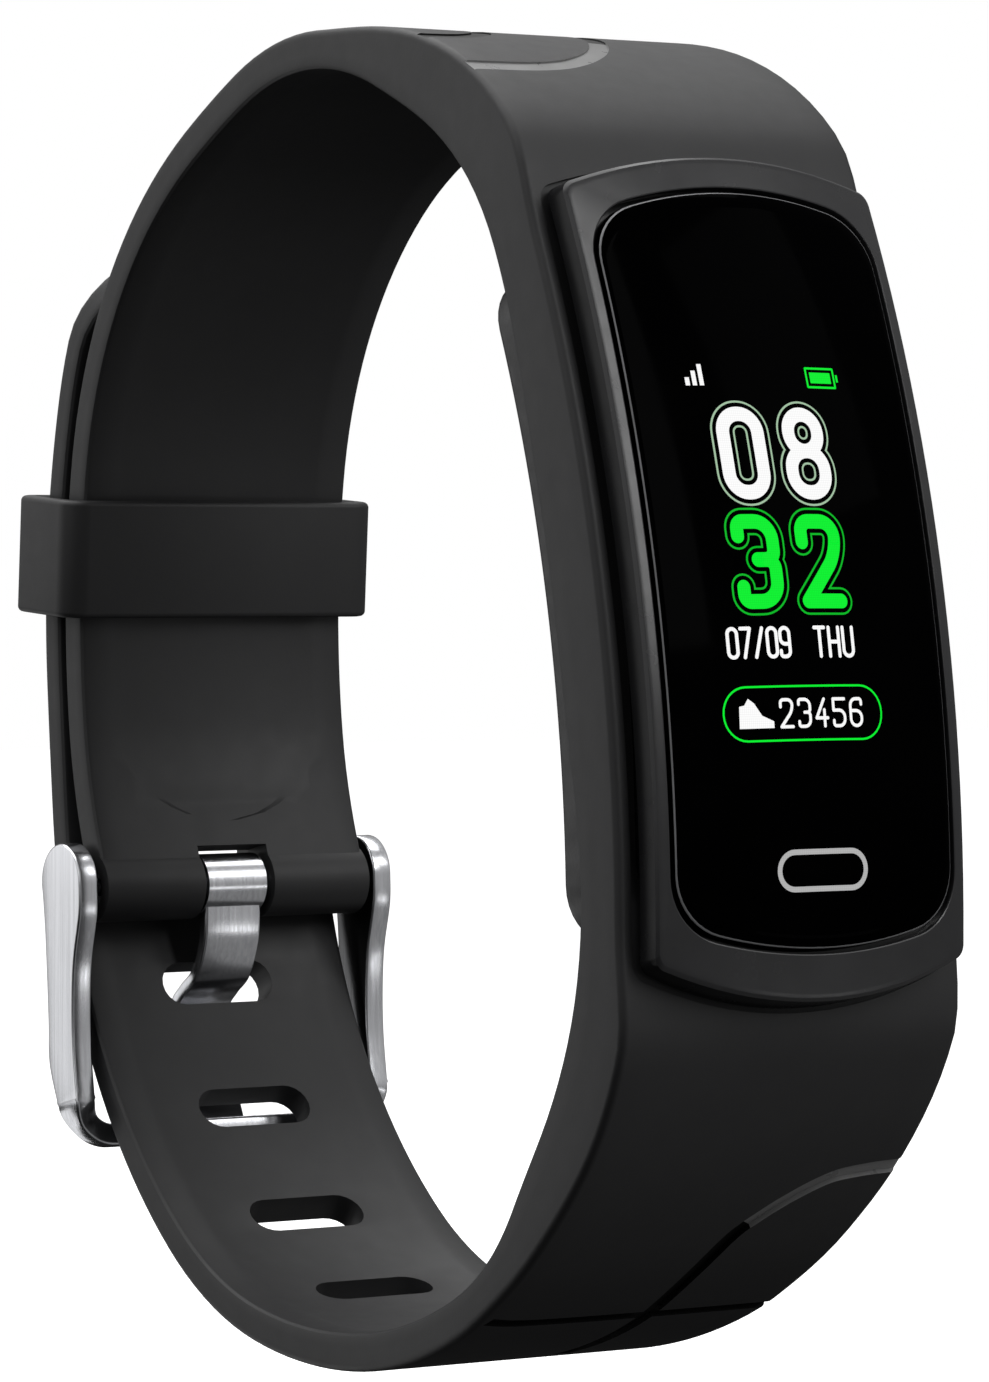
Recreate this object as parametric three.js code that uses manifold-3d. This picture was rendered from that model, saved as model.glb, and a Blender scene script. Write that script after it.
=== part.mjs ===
// Fitness tracker band: one-piece silicone strap, drop-in electronics capsule, pin buckle and keeper.
// Millimetres. The band is modelled square to its capsule (X across the wrist, -Y out of the display,
// Z along the display) and the whole group is then leant back to the way it stands.
import * as THREE from "three";
import { mergeVertices } from "three/addons/utils/BufferGeometryUtils.js";
import Module from "manifold-3d";

const wasm = await Module();
wasm.setup();

const DEG = Math.PI / 180;

// How the band stands, and where the middle of the wrist opening is in the capsule's own axes.
const LEAN = 12.2 * DEG;
const WRIST_Y = 13.3;
const WRIST_Z = 1.8;

// Inner (wrist) surface of the strap: tangent arcs, each [length, turn in degrees], starting at the
// middle of the capsule and running over the top to the buckle, or under the wrist to the tail's tip.
const LOOP_START = new THREE.Vector2(-13.5, 2.7);
const UPPER_ARCS = [[18.5, 14.9], [31.7, 85.5], [6, 5.5], [23, 52.7], [14.8, 16.1], [5.5, 10.2]];
const LOWER_ARCS = [
  [11.4, 6.1], [22.5, 40.8], [8.9, 30.9], [22.1, 34.6], [9.7, 25.7],
  [27.8, 48.7], [8.3, 1.2], [16.7, 19.1], [10.5, 28],
];

// Strap
const HALF_AT_CAPSULE = 10.6;
const CAPSULE_FLARE = 0.35; // the strap is this much wider each side beside the capsule
const HALF_AT_BACK = 9.1;
const FLARE_FROM = 19;
const FLARE_TO = 29;
const WIDE_UNTIL = 24;
const NARROW_FROM = 60;
const BACK_THICK = 2.2;
const THIN_FROM = 20; // the strap thins from the capsule's ends to its back thickness between these
const THIN_TO = 41;
const TAIL_THICK = 1.9;
const TAIL_THIN_AT = 95; // distance below the capsule where the tail has reached its own thickness
const END_SWELL = 0.5; // the strap rises this much round the bezel's two ends
const SWELL_FROM = 17;
const SWELL_TO = 22;
const EDGE_ROUND = 0.45;
const WRIST_EDGE_ROUND = 0.35;
const RELIEF = 1; // the wrist side is hollowed by this much beside the capsule's middle
const RELIEF_AT_ENDS = 0.85; // and by this much more beside its ends
const RELIEF_FROM = 4;
const RELIEF_FULL = 19;
const RELIEF_GONE = 34;
const SEAM = 54; // distance below the capsule where the body ends and the tail begins
const SEAM_GAP = 0.3;
const TAIL_END = 137.6;
const TIP_ROUND = 7;
const SLOT_FIRST = 66.7;
const SLOT_PITCH = 8.4;
const SLOT_COUNT = 8;
const SLOT_WIDE = 7.6;
const SLOT_TALL = 2.7;
const RING_STEP = 2.4; // distance between the strap's cross-sections
const TIP_TURNS = [20, 40, 58, 72, 82];

// Capsule: every curved face is concentric, its height h measured out along the display's normal.
const BEND_CENTRE = 71.1;
const SEAT_H = 19;
const SEAT_REACH = 22;
const BEZEL_HALF = 9.9;
const BEZEL_CORNER = 20.7;
const BEZEL_BOW_TOP = 1.6;
const BEZEL_BOW_FOOT = 2.2;
const BEZEL_H = 21;
const BEZEL_CHAMFER = 0.35;
const BEZEL_FILLET = 0.8;
const CROWN = 0.9;
const FLANGE_H = 19.3;
const LENS_HALF = 8.85;
const LENS_CORNER = 18.6;
const LENS_BOW = 1.65;
const LENS_H = 20.85;
const LENS_FILLET = 3.3;
const LENS_BED = 0.3; // clear height under the lens
const SHELL_HALF = 9.05;
const SHELL_LONG = 18.2;
const SHELL_FILLET = 3.2;
const WALL = 1.1;
const INNER_FILLET = 2.2;
const SHELL_CEILING_H = 19.6;
const WINDOW_HALF = 7.3;
const WINDOW_LONG = 16.9;
const CAVITY_GAP = 0.25;
const BEND_SPAN = 17 * DEG; // curved bars reach this far either side of the capsule's middle
const SHELL_BASE_H = 14.5;
const COVER_TOP_H = 13.6;
const COVER_H = 10.9;
const COVER_FLOOR = 0.95;
const COVER_CHAMFER = 0.5;
const SENSOR_V = -2.6;
const SENSOR_HOLE_R = 3.6;
const CONTACT_X = 3;
const CONTACT_V = 11;
const CONTACT_HOLE_R = 1.35;
const CONTACT_PROUD = 0.75;

// Solids used only for cutting reach past every face they trim.
const CUT_LOW = 5;
const CUT_HIGH = 30;
const CUT_HALF = 14;

// Flat parts in the case: [half across, half along, lower height, upper height, x, v].
const DISPLAY_PANEL = [6.6, 13.6, 17.8, 19, 0, 1.2];
const DISPLAY_CUSHION = [6.6, 13.4, 16.8, 17.5, 0, 1.2];
const CUSHION_BORDER = 1;
const FLEX_CONNECTOR = [2.9, 1.1, 15.75, 16.6, 0, -9];
const MAIN_BOARD = [7.2, 9, 14.8, 15.5, 0, -7.4];
const PROCESSOR_SHIELD = [2.9, 3, 13.3, 14.55, 3.6, -9.4];
const ACCELEROMETER = [1.25, 1.25, 13.7, 14.55, 3.6, -14.4];
const BATTERY = [6.7, 7.1, 12.75, 15.1, 0, 9.2];
const BATTERY_TAPE = [5.8, 6, 15.3, 15.6, 0, 9.2];
const MID_FRAME = { half: 7.6, long: 16.7, fillet: 2, low: 15.8, high: 16.5 };
const FRAME_SLOTS = [[3.4, 1.6, 15, 17, 0, -9], [2.4, 1, 15, 17, 0, -14.6]];
const TOUCH_KEY = { half: 4.4, long: 1.5, fillet: 1.4, v: -15.1, low: 18.5, high: 18.75 };

// Vibration motor, a disc with an off-centre weight turning on a short shaft
const MOTOR_X = -3.1;
const MOTOR_V = -12.2;
const MOTOR_R = 3.3;
const MOTOR_BASE_H = 12.2;
const MOTOR_CAN_TOP_H = 14.7;
const MOTOR_WALL = 0.3;
const SHAFT_R = 0.35;
const WEIGHT_R = 2.7;
const HUB_R = 1.1;
const HUB_BORE_R = 0.6;

// Optical sensor: a light each side of the photodiode
const LED_X = 1.9;
const SENSOR_CHIP = [0.55, 0.6, 12.55, 13.15];
const BAFFLE_HOLE = [0.75, 0.8, 12, 14];

// Buckle
const PIN_Y = 40.15;
const PIN_Z = -4;
const ROLL_R = 2.1;
const BORE_R = 1.25;
const ROLL_OVERLAP = 4.2; // how far the strap runs on into its roll
const TUBE_R = 1;
const TUBE_HALF = 8.6;
const TUBE_BORE_R = 0.75;
const TUBE_LIP_R = 0.55;
const SPRING_TURNS = 9;
const SPRING_HALF = 6.2;
const SPRING_R = 0.46;
const WIRE_R = 0.11;
const PIN_HOLE_R = 0.65;
const CHEEK_IN = 9.6;
const CHEEK_THICK = 1.3;
const CHEEK_HEAD = { y: 40.7, z: -3.6, r: 2.35 };
const LEG_END_Z = -16.55; // below this the frame bends round into its crossbar
const LEG_FRONT = 41.45;
const LEG_BACK = 43.9;
const BAR_FRONT = 41.95;
const BAR_BACK = 43.4;
const FRAME_BEND = 1.4;
const PRONG_HALF = 1.95;
const PRONG_THICK = 0.8;
const EYE_HALF = 2;
const EYE_R = 1.8;

// Keeper
const KEEPER_AT = 84.2;
const KEEPER_TALL = 7;
const KEEPER_HALF = 10.75;
const KEEPER_WALL = 1;
const KEEPER_DEEP = 7.2;
const KEEPER_MIDDLE = 2.25;
const KEEPER_ROUND = 1.5;
const KEEPER_INNER_ROUND = 0.6;

const COLOURS = {
  silicone: 0x1c1c1e, shell: 0x2a2a2c, glass: 0x050506, steel: 0xc9cbce, board: 0x1d4d2c,
  chip: 0x18181a, foil: 0x9da3a8, foam: 0x303234, clear: 0x3a1d1d, gold: 0xc9a24a, led: 0xd8f0c8,
};

function material(name) {
  return new THREE.MeshStandardMaterial({ color: COLOURS[name] });
}

// ---------- solids ----------

function solid(geometry) {
  const bare = geometry.index ? geometry.toNonIndexed() : geometry.clone();
  bare.deleteAttribute("normal");
  bare.deleteAttribute("uv");
  const merged = mergeVertices(bare, 1e-4);
  const vertProperties = merged.attributes.position.array;
  const triVerts = new Uint32Array(merged.index.array);
  const made = new wasm.Manifold(new wasm.Mesh({ numProp: 3, vertProperties, triVerts }));
  if (made.volume() > 0) return made;
  for (let i = 0; i < triVerts.length; i += 3) {
    const swap = triVerts[i + 1];
    triVerts[i + 1] = triVerts[i + 2];
    triVerts[i + 2] = swap;
  }
  return new wasm.Manifold(new wasm.Mesh({ numProp: 3, vertProperties, triVerts }));
}

function geometryOf(made) {
  const mesh = made.getMesh();
  const geometry = new THREE.BufferGeometry();
  geometry.setAttribute("position", new THREE.BufferAttribute(new Float32Array(mesh.vertProperties), 3));
  geometry.setIndex(new THREE.BufferAttribute(new Uint32Array(mesh.triVerts), 1));
  geometry.computeVertexNormals();
  return geometry;
}

function node(name, made, colour) {
  const geometry = made.isBufferGeometry ? geometryOf(solid(made)) : geometryOf(made);
  const mesh = new THREE.Mesh(geometry, material(colour));
  mesh.name = name;
  return mesh;
}

// Joins rings of equal point count into one closed body; both ends are closed with a fan.
function loft(rings) {
  const count = rings[0].length;
  const points = rings.flat();
  const index = [];
  for (let r = 0; r + 1 < rings.length; r++) {
    for (let i = 0; i < count; i++) {
      const a = r * count + i;
      const b = r * count + ((i + 1) % count);
      index.push(a, b, b + count, a, b + count, a + count);
    }
  }
  for (const [ring, first, flip] of [[rings[0], 0, true], [rings.at(-1), (rings.length - 1) * count, false]]) {
    const middle = ring.reduce((sum, p) => sum.add(p), new THREE.Vector3()).divideScalar(count);
    const hub = points.push(middle) - 1;
    for (let i = 0; i < count; i++) {
      const a = first + i;
      const b = first + ((i + 1) % count);
      index.push(...(flip ? [hub, b, a] : [hub, a, b]));
    }
  }
  const geometry = new THREE.BufferGeometry().setFromPoints(points);
  geometry.setIndex(index);
  return solid(geometry);
}

function smooth(from, to, value) {
  return THREE.MathUtils.smoothstep(value, from, to);
}

// ---------- outlines ----------

function roundedRect(halfX, halfY, radius, middleY = 0) {
  const shape = new THREE.Shape();
  shape.absarc(halfX - radius, middleY + halfY - radius, radius, 0, Math.PI / 2);
  shape.absarc(radius - halfX, middleY + halfY - radius, radius, Math.PI / 2, Math.PI);
  shape.absarc(radius - halfX, middleY + radius - halfY, radius, Math.PI, 1.5 * Math.PI);
  shape.absarc(halfX - radius, middleY + radius - halfY, radius, 1.5 * Math.PI, 2 * Math.PI);
  return shape;
}

// Centre and turn of the corner fillet where a straight side meets a bowed end.
function bowedEnd(half, corner, bow, radius) {
  const endRadius = (half * half + bow * bow) / (2 * bow);
  const middle = corner + bow - endRadius;
  const fillet = middle + Math.sqrt((endRadius - radius) ** 2 - (half - radius) ** 2);
  return { endRadius, middle, fillet, turn: Math.atan2(fillet - middle, half - radius) };
}

// Straight sides and bowed ends with rounded corners, as the bezel and the lens have.
function bowedRect(half, corner, bowTop, bowFoot, radius) {
  const top = bowedEnd(half, corner, bowTop, radius);
  const foot = bowedEnd(half, corner, bowFoot, radius);
  const side = half - radius;
  const shape = new THREE.Shape();
  shape.absarc(side, top.fillet, radius, 0, top.turn);
  shape.absarc(0, top.middle, top.endRadius, top.turn, Math.PI - top.turn);
  shape.absarc(-side, top.fillet, radius, Math.PI - top.turn, Math.PI);
  shape.absarc(-side, -foot.fillet, radius, Math.PI, Math.PI + foot.turn);
  shape.absarc(0, -foot.middle, foot.endRadius, Math.PI + foot.turn, 2 * Math.PI - foot.turn);
  shape.absarc(side, -foot.fillet, radius, 2 * Math.PI - foot.turn, 2 * Math.PI);
  return shape;
}

function bezelOutline(grow, radius) {
  return bowedRect(BEZEL_HALF + grow, BEZEL_CORNER + grow, BEZEL_BOW_TOP, BEZEL_BOW_FOOT, radius);
}

function lensOutline(grow, radius) {
  return bowedRect(LENS_HALF + grow, LENS_CORNER + grow, LENS_BOW, LENS_BOW, radius);
}

// A plate drawn looking at the display (x, v) and raised from height h0 to h1 towards the viewer.
function plate(shape, h0, h1, curveSegments = 4) {
  const geometry = new THREE.ExtrudeGeometry(shape, { depth: h1 - h0, bevelEnabled: false, curveSegments });
  geometry.translate(0, 0, h0);
  geometry.rotateX(Math.PI / 2);
  return solid(geometry);
}

function block(halfX, halfV, h0, h1, x = 0, v = 0) {
  const geometry = new THREE.BoxGeometry(2 * halfX, h1 - h0, 2 * halfV);
  geometry.translate(x, -(h0 + h1) / 2, v);
  return solid(geometry);
}

function disc(radius, h0, h1, x = 0, v = 0, sides = 24) {
  const geometry = new THREE.CylinderGeometry(radius, radius, h1 - h0, sides);
  geometry.translate(x, -(h0 + h1) / 2, v);
  return solid(geometry);
}

// A profile in (x, h) swept along the capsule's bend.
function bentBar(profile, steps = 22) {
  const rings = [];
  for (let i = 0; i <= steps; i++) {
    const angle = BEND_SPAN * ((2 * i) / steps - 1);
    rings.push(profile.map(([x, h]) => {
      const radius = BEND_CENTRE + h;
      return new THREE.Vector3(x, BEND_CENTRE - radius * Math.cos(angle), radius * Math.sin(angle));
    }));
  }
  return loft(rings);
}

function slab(half, h0, h1) {
  return bentBar([[-half, h0], [half, h0], [half, h1], [-half, h1]]);
}

function crownHeight(x) {
  return BEZEL_H + CROWN * (1 - (x / BEZEL_HALF) ** 2);
}

// Flat underneath, crowned on top, with a small chamfer down each side.
function crownedBar(half, base, chamfer, steps = 10) {
  const profile = [[-half, base], [half, base], [half, crownHeight(half) - chamfer]];
  for (let i = 0; i <= steps; i++) {
    const x = (half - chamfer) * (1 - (2 * i) / steps);
    profile.push([x, crownHeight(x)]);
  }
  profile.push([-half, crownHeight(half) - chamfer]);
  return bentBar(profile);
}

// ---------- strap path ----------

function arcChain(start, headingDegrees, arcs, turnSign) {
  let y = start.x;
  let z = start.y;
  let heading = headingDegrees * DEG;
  const pieces = arcs.map(([length, turn]) => {
    const bend = (turnSign * turn * DEG) / length;
    const piece = { y, z, heading, length, bend };
    y += (Math.sin(heading + bend * length) - Math.sin(heading)) / bend;
    z -= (Math.cos(heading + bend * length) - Math.cos(heading)) / bend;
    heading += bend * length;
    return piece;
  });
  return (distance) => {
    let left = distance;
    let piece = pieces[0];
    for (piece of pieces) {
      if (left <= piece.length) break;
      if (piece !== pieces.at(-1)) left -= piece.length;
    }
    const turned = piece.heading + piece.bend * left;
    return {
      y: piece.y + (Math.sin(turned) - Math.sin(piece.heading)) / piece.bend,
      z: piece.z - (Math.cos(turned) - Math.cos(piece.heading)) / piece.bend,
      heading: turned,
    };
  };
}

const upperChain = arcChain(LOOP_START, 90, UPPER_ARCS, -1);
const lowerChain = arcChain(LOOP_START, -90, LOWER_ARCS, 1);
const UPPER_END = UPPER_ARCS.reduce((sum, arc) => sum + arc[0], 0);

// s is the distance from the capsule's middle, positive over the top and negative underneath.
function onLoop(s) {
  const at = s >= 0 ? upperChain(s) : lowerChain(-s);
  const heading = s >= 0 ? at.heading : at.heading + Math.PI;
  const along = new THREE.Vector3(0, Math.cos(heading), Math.sin(heading));
  const out = new THREE.Vector3(0, -Math.sin(heading), Math.cos(heading));
  return { foot: new THREE.Vector3(0, at.y, at.z), along, out };
}

// Moves a solid drawn in (x, along, out) onto the loop at s.
function placeOnLoop(geometry, s) {
  const { foot, along, out } = onLoop(s);
  const across = new THREE.Vector3().crossVectors(along, out);
  const frame = new THREE.Matrix4().makeBasis(across, along, out).setPosition(foot);
  return solid(geometry.clone().applyMatrix4(frame));
}

function halfWidth(s) {
  const narrowed = smooth(WIDE_UNTIL, NARROW_FROM, Math.abs(s));
  const flare = CAPSULE_FLARE * (1 - smooth(FLARE_FROM, FLARE_TO, Math.abs(s)));
  return THREE.MathUtils.lerp(HALF_AT_CAPSULE, HALF_AT_BACK, narrowed) + flare;
}

// Distance out from the wrist surface to the ledge the bezel sits on.
function seatThickness(s) {
  const { foot, out } = onLoop(s);
  const y = foot.y - BEND_CENTRE;
  const z = foot.z - LOOP_START.y;
  const b = y * out.y + z * out.z;
  const c = y * y + z * z - (BEND_CENTRE + SEAT_H) ** 2;
  return -b + Math.sqrt(b * b - c);
}

// Thick enough at the capsule to carry the bezel, thinning to a plain strap above and below it.
function bodyThickness(s) {
  const seat = seatThickness(THREE.MathUtils.clamp(s, -SEAT_REACH, SEAT_REACH));
  const swell = END_SWELL * smooth(SWELL_FROM, SWELL_TO, Math.abs(s));
  return THREE.MathUtils.lerp(seat + swell, BACK_THICK, smooth(THIN_FROM, THIN_TO, Math.abs(s)));
}

function tailThickness(s) {
  return THREE.MathUtils.lerp(BACK_THICK, TAIL_THICK, smooth(SEAM, TAIL_THIN_AT, -s));
}

// How far the wrist surface is set back, so that the case stands a little proud of the strap.
function wristRelief(s) {
  const away = Math.abs(s);
  const full = RELIEF + RELIEF_AT_ENDS * smooth(RELIEF_FROM, RELIEF_FULL, away);
  return full * (1 - smooth(RELIEF_FULL, RELIEF_GONE, away));
}

// Cross-section of the strap: rounded outer corners, tighter inner corners.
function strapRing(s, half, thick) {
  const { foot, out } = onLoop(s);
  const low = wristRelief(s);
  const outer = Math.min(EDGE_ROUND, half * 0.9);
  const inner = Math.min(WRIST_EDGE_ROUND, half * 0.5);
  const corners = [
    [half - outer, thick - outer, outer, 0, 4], [outer - half, thick - outer, outer, 90, 4],
    [inner - half, low + inner, inner, 180, 2], [half - inner, low + inner, inner, 270, 2],
  ];
  const ring = [];
  for (const [cx, cn, radius, from, steps] of corners) {
    for (let i = 0; i <= steps; i++) {
      const angle = (from + (90 * i) / steps) * DEG;
      const x = cx + radius * Math.cos(angle);
      const n = cn + radius * Math.sin(angle);
      ring.push(new THREE.Vector3(x, foot.y + out.y * n, foot.z + out.z * n));
    }
  }
  return ring;
}

function stations(from, to, step) {
  const count = Math.ceil(Math.abs(to - from) / step);
  return Array.from({ length: count + 1 }, (_, i) => from + ((to - from) * i) / count);
}

// ---------- strap pieces ----------

function crossPin(radius, half, sides = 28) {
  const geometry = new THREE.CylinderGeometry(radius, radius, 2 * half, sides);
  geometry.rotateZ(Math.PI / 2);
  geometry.translate(0, PIN_Y, PIN_Z);
  return solid(geometry);
}

function strapBody() {
  const rings = stations(-(SEAM - SEAM_GAP / 2), UPPER_END + ROLL_OVERLAP, RING_STEP)
    .map((s) => strapRing(s, halfWidth(s), bodyThickness(s)));
  const opening = roundedRect(SHELL_HALF + CAVITY_GAP, SHELL_LONG + CAVITY_GAP, SHELL_FILLET + 0.2);
  const socket = plate(opening, CUT_LOW, CUT_HIGH).translate([0, 0, LOOP_START.y]);
  const under = slab(CUT_HALF, SEAT_H, CUT_HIGH);
  const flange = plate(bezelOutline(CAVITY_GAP, BEZEL_FILLET + 0.2), CUT_LOW, CUT_HIGH);
  const seat = under.intersect(flange).translate([0, 0, LOOP_START.y]);
  const notch = new THREE.BoxGeometry(2 * EYE_HALF + 0.8, 8, 6.2).translate(0, PIN_Y, PIN_Z - 1);
  return loft(rings)
    .subtract(socket)
    .subtract(seat)
    .add(crossPin(ROLL_R, HALF_AT_BACK))
    .subtract(crossPin(BORE_R, HALF_AT_BACK + 2))
    .subtract(solid(notch));
}

function strapTail() {
  const straight = stations(-(SEAM + SEAM_GAP / 2), -(TAIL_END - TIP_ROUND), RING_STEP);
  const rings = straight.map((s) => strapRing(s, halfWidth(s), tailThickness(s)));
  for (const turn of TIP_TURNS) {
    const s = -(TAIL_END - TIP_ROUND + TIP_ROUND * Math.sin(turn * DEG));
    rings.push(strapRing(s, HALF_AT_BACK * Math.cos(turn * DEG), tailThickness(s)));
  }
  let made = loft(rings);
  const slot = new THREE.ExtrudeGeometry(
    roundedRect(SLOT_WIDE / 2, SLOT_TALL / 2, SLOT_TALL / 2 - 0.01),
    { depth: 6, bevelEnabled: false, curveSegments: 3 },
  );
  slot.translate(0, 0, -2);
  for (let i = 0; i < SLOT_COUNT; i++) {
    made = made.subtract(placeOnLoop(slot, -(SLOT_FIRST + i * SLOT_PITCH)));
  }
  return made;
}

function keeper() {
  const shape = roundedRect(KEEPER_HALF, KEEPER_DEEP / 2, KEEPER_ROUND, KEEPER_MIDDLE);
  const hole = roundedRect(
    KEEPER_HALF - KEEPER_WALL, KEEPER_DEEP / 2 - KEEPER_WALL, KEEPER_INNER_ROUND, KEEPER_MIDDLE,
  );
  shape.holes.push(new THREE.Path(hole.getPoints(3).reverse()));
  const ring = new THREE.ExtrudeGeometry(shape, { depth: KEEPER_TALL, bevelEnabled: false, curveSegments: 4 });
  ring.translate(0, 0, -KEEPER_TALL / 2);
  ring.applyMatrix4(new THREE.Matrix4().makeBasis(
    new THREE.Vector3(1, 0, 0), new THREE.Vector3(0, 0, 1), new THREE.Vector3(0, -1, 0),
  ));
  return placeOnLoop(ring, KEEPER_AT);
}

// ---------- buckle ----------

// Extrudes an outline drawn in (y, z) across the wrist from x0 to x1.
function acrossWrist(shape, x0, x1, curveSegments = 6) {
  const geometry = new THREE.ExtrudeGeometry(shape, { depth: x1 - x0, bevelEnabled: false, curveSegments });
  geometry.translate(0, 0, x0);
  geometry.applyMatrix4(new THREE.Matrix4().makeBasis(
    new THREE.Vector3(0, 1, 0), new THREE.Vector3(0, 0, 1), new THREE.Vector3(1, 0, 0),
  ));
  return solid(geometry);
}

function points(pairs) {
  return pairs.map(([a, b]) => new THREE.Vector2(a, b));
}

// A side cheek in (y, z): round at the pin, narrow in the waist, square where the bend begins.
function cheekOutline() {
  const shape = new THREE.Shape();
  shape.absarc(CHEEK_HEAD.y, CHEEK_HEAD.z, CHEEK_HEAD.r, -5 * DEG, 190 * DEG);
  shape.splineThru(points([[38.8, -5.8], [40.05, -8.4], [40.8, -11], [41.25, -13.6], [LEG_FRONT, LEG_END_Z]]));
  shape.lineTo(LEG_BACK, LEG_END_Z);
  shape.splineThru(points([[44.4, -13.9], [44, -11.5], [43.55, -8.5], [43.2, -5.8]]));
  return shape;
}

// The crossbar with the bend at each end, swept from one leg to the other.
function crossbar() {
  const turns = [-20, 0, 15, 30, 45, 60, 75, 90];
  const ring = (turn, side) => {
    const angle = Math.max(0, turn) * DEG;
    const rise = turn < 0 ? 0.3 : 0; // the first ring stands inside the leg
    const share = smooth(0, 45, turn);
    const front = THREE.MathUtils.lerp(LEG_FRONT, BAR_FRONT, share);
    const back = THREE.MathUtils.lerp(LEG_BACK, BAR_BACK, share);
    const at = (radius, y) => {
      const x = CHEEK_IN - FRAME_BEND + radius * Math.cos(angle);
      return new THREE.Vector3(side * x, y, LEG_END_Z + rise - radius * Math.sin(angle));
    };
    const outside = FRAME_BEND + CHEEK_THICK;
    return [at(FRAME_BEND, front), at(outside, front), at(outside, back), at(FRAME_BEND, back)];
  };
  const left = turns.map((turn) => ring(turn, -1));
  const right = turns.map((turn) => ring(turn, 1));
  return loft([...left, ...right.reverse()]);
}

function buckleFrame() {
  const outline = cheekOutline();
  const outside = CHEEK_IN + CHEEK_THICK;
  const pinHoles = crossPin(PIN_HOLE_R, outside - 0.3, 16);
  return acrossWrist(outline, CHEEK_IN, outside)
    .add(acrossWrist(outline, -outside, -CHEEK_IN))
    .add(crossbar())
    .subtract(pinHoles);
}

// The tongue leaves the eye on the wrist side, turns out through a slot and lies on the crossbar.
function prongOutline() {
  const middle = new THREE.CatmullRomCurve3([
    [39.6, -5.3], [40.2, -7.4], [41.6, -9.25], [43.2, -10], [44.5, -10.8], [45.2, -12.7],
    [45, -15.2], [44.35, -17.6], [44.1, -19.3],
  ].map(([y, z]) => new THREE.Vector3(y, z, 0)));
  const steps = 22;
  const left = [];
  const right = [];
  for (let i = 0; i <= steps; i++) {
    const at = middle.getPointAt(i / steps);
    const along = middle.getTangentAt(i / steps);
    const side = new THREE.Vector2(-along.y, along.x).multiplyScalar(PRONG_THICK / 2);
    left.push(new THREE.Vector2(at.x, at.y).add(side));
    right.push(new THREE.Vector2(at.x, at.y).sub(side));
  }
  return new THREE.Shape([...left, ...right.reverse()]);
}

function prong() {
  return crossPin(EYE_R, EYE_HALF)
    .add(acrossWrist(prongOutline(), -PRONG_HALF, PRONG_HALF))
    .subtract(crossPin(TUBE_R + 0.25, EYE_HALF + 1));
}

function lathe(profile, sides = 20) {
  return new THREE.LatheGeometry(profile.map(([r, along]) => new THREE.Vector2(r, along)), sides);
}

function springTube() {
  const inside = TUBE_HALF - 0.3; // each end is turned in to a lip this far along
  const profile = [
    [TUBE_LIP_R, -TUBE_HALF], [TUBE_R, -TUBE_HALF], [TUBE_R, TUBE_HALF], [TUBE_LIP_R, TUBE_HALF],
    [TUBE_LIP_R, inside], [TUBE_BORE_R, inside], [TUBE_BORE_R, -inside], [TUBE_LIP_R, -inside],
    [TUBE_LIP_R, -TUBE_HALF],
  ];
  return lathe(profile).rotateZ(-Math.PI / 2).translate(0, PIN_Y, PIN_Z);
}

// A plunger held behind the tube's lip, with a thin pin that reaches into the cheek.
function springTip(side) {
  const profile = [[0, 6.4], [0.6, 6.4], [0.6, 8.1], [0.4, 8.1], [0.4, 10.15], [0.28, 10.35], [0, 10.35]];
  return lathe(profile, 16).rotateZ((-side * Math.PI) / 2).translate(0, PIN_Y, PIN_Z);
}

class Helix extends THREE.Curve {
  getPoint(t, target = new THREE.Vector3()) {
    const angle = 2 * Math.PI * SPRING_TURNS * t;
    const x = SPRING_HALF * (2 * t - 1);
    return target.set(x, SPRING_R * Math.cos(angle), SPRING_R * Math.sin(angle));
  }
}

function coilSpring() {
  const wire = new THREE.Shape().absarc(0, 0, WIRE_R, 0, 2 * Math.PI);
  const geometry = new THREE.ExtrudeGeometry(wire, {
    steps: 12 * SPRING_TURNS, bevelEnabled: false, curveSegments: 3, extrudePath: new Helix(),
  });
  return geometry.translate(0, PIN_Y, PIN_Z);
}

// ---------- capsule pieces (x, v, h; v is measured from the capsule's middle) ----------

function frontShell() {
  const flange = crownedBar(BEZEL_HALF, FLANGE_H, BEZEL_CHAMFER)
    .intersect(plate(bezelOutline(0, BEZEL_FILLET), CUT_LOW, CUT_HIGH));
  const skirt = slab(CUT_HALF, SHELL_BASE_H, 20)
    .intersect(plate(roundedRect(SHELL_HALF, SHELL_LONG, SHELL_FILLET), CUT_LOW, CUT_HIGH));
  const pocket = slab(CUT_HALF, LENS_H - LENS_BED, CUT_HIGH)
    .intersect(plate(lensOutline(CAVITY_GAP, LENS_FILLET + 0.2), CUT_LOW, CUT_HIGH));
  const inside = slab(CUT_HALF, CUT_LOW, SHELL_CEILING_H).intersect(caseInside());
  const window = plate(roundedRect(WINDOW_HALF, WINDOW_LONG, 2), CUT_LOW, CUT_HIGH);
  return flange.add(skirt).subtract(pocket).subtract(inside).subtract(window);
}

// The hollow of the case, as an upright prism.
function caseInside() {
  return plate(roundedRect(SHELL_HALF - WALL, SHELL_LONG - WALL, INNER_FILLET), 0, CUT_HIGH);
}

function lens() {
  return crownedBar(BEZEL_HALF, LENS_H, BEZEL_CHAMFER)
    .intersect(plate(lensOutline(0, LENS_FILLET), CUT_LOW, CUT_HIGH, 6));
}

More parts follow.
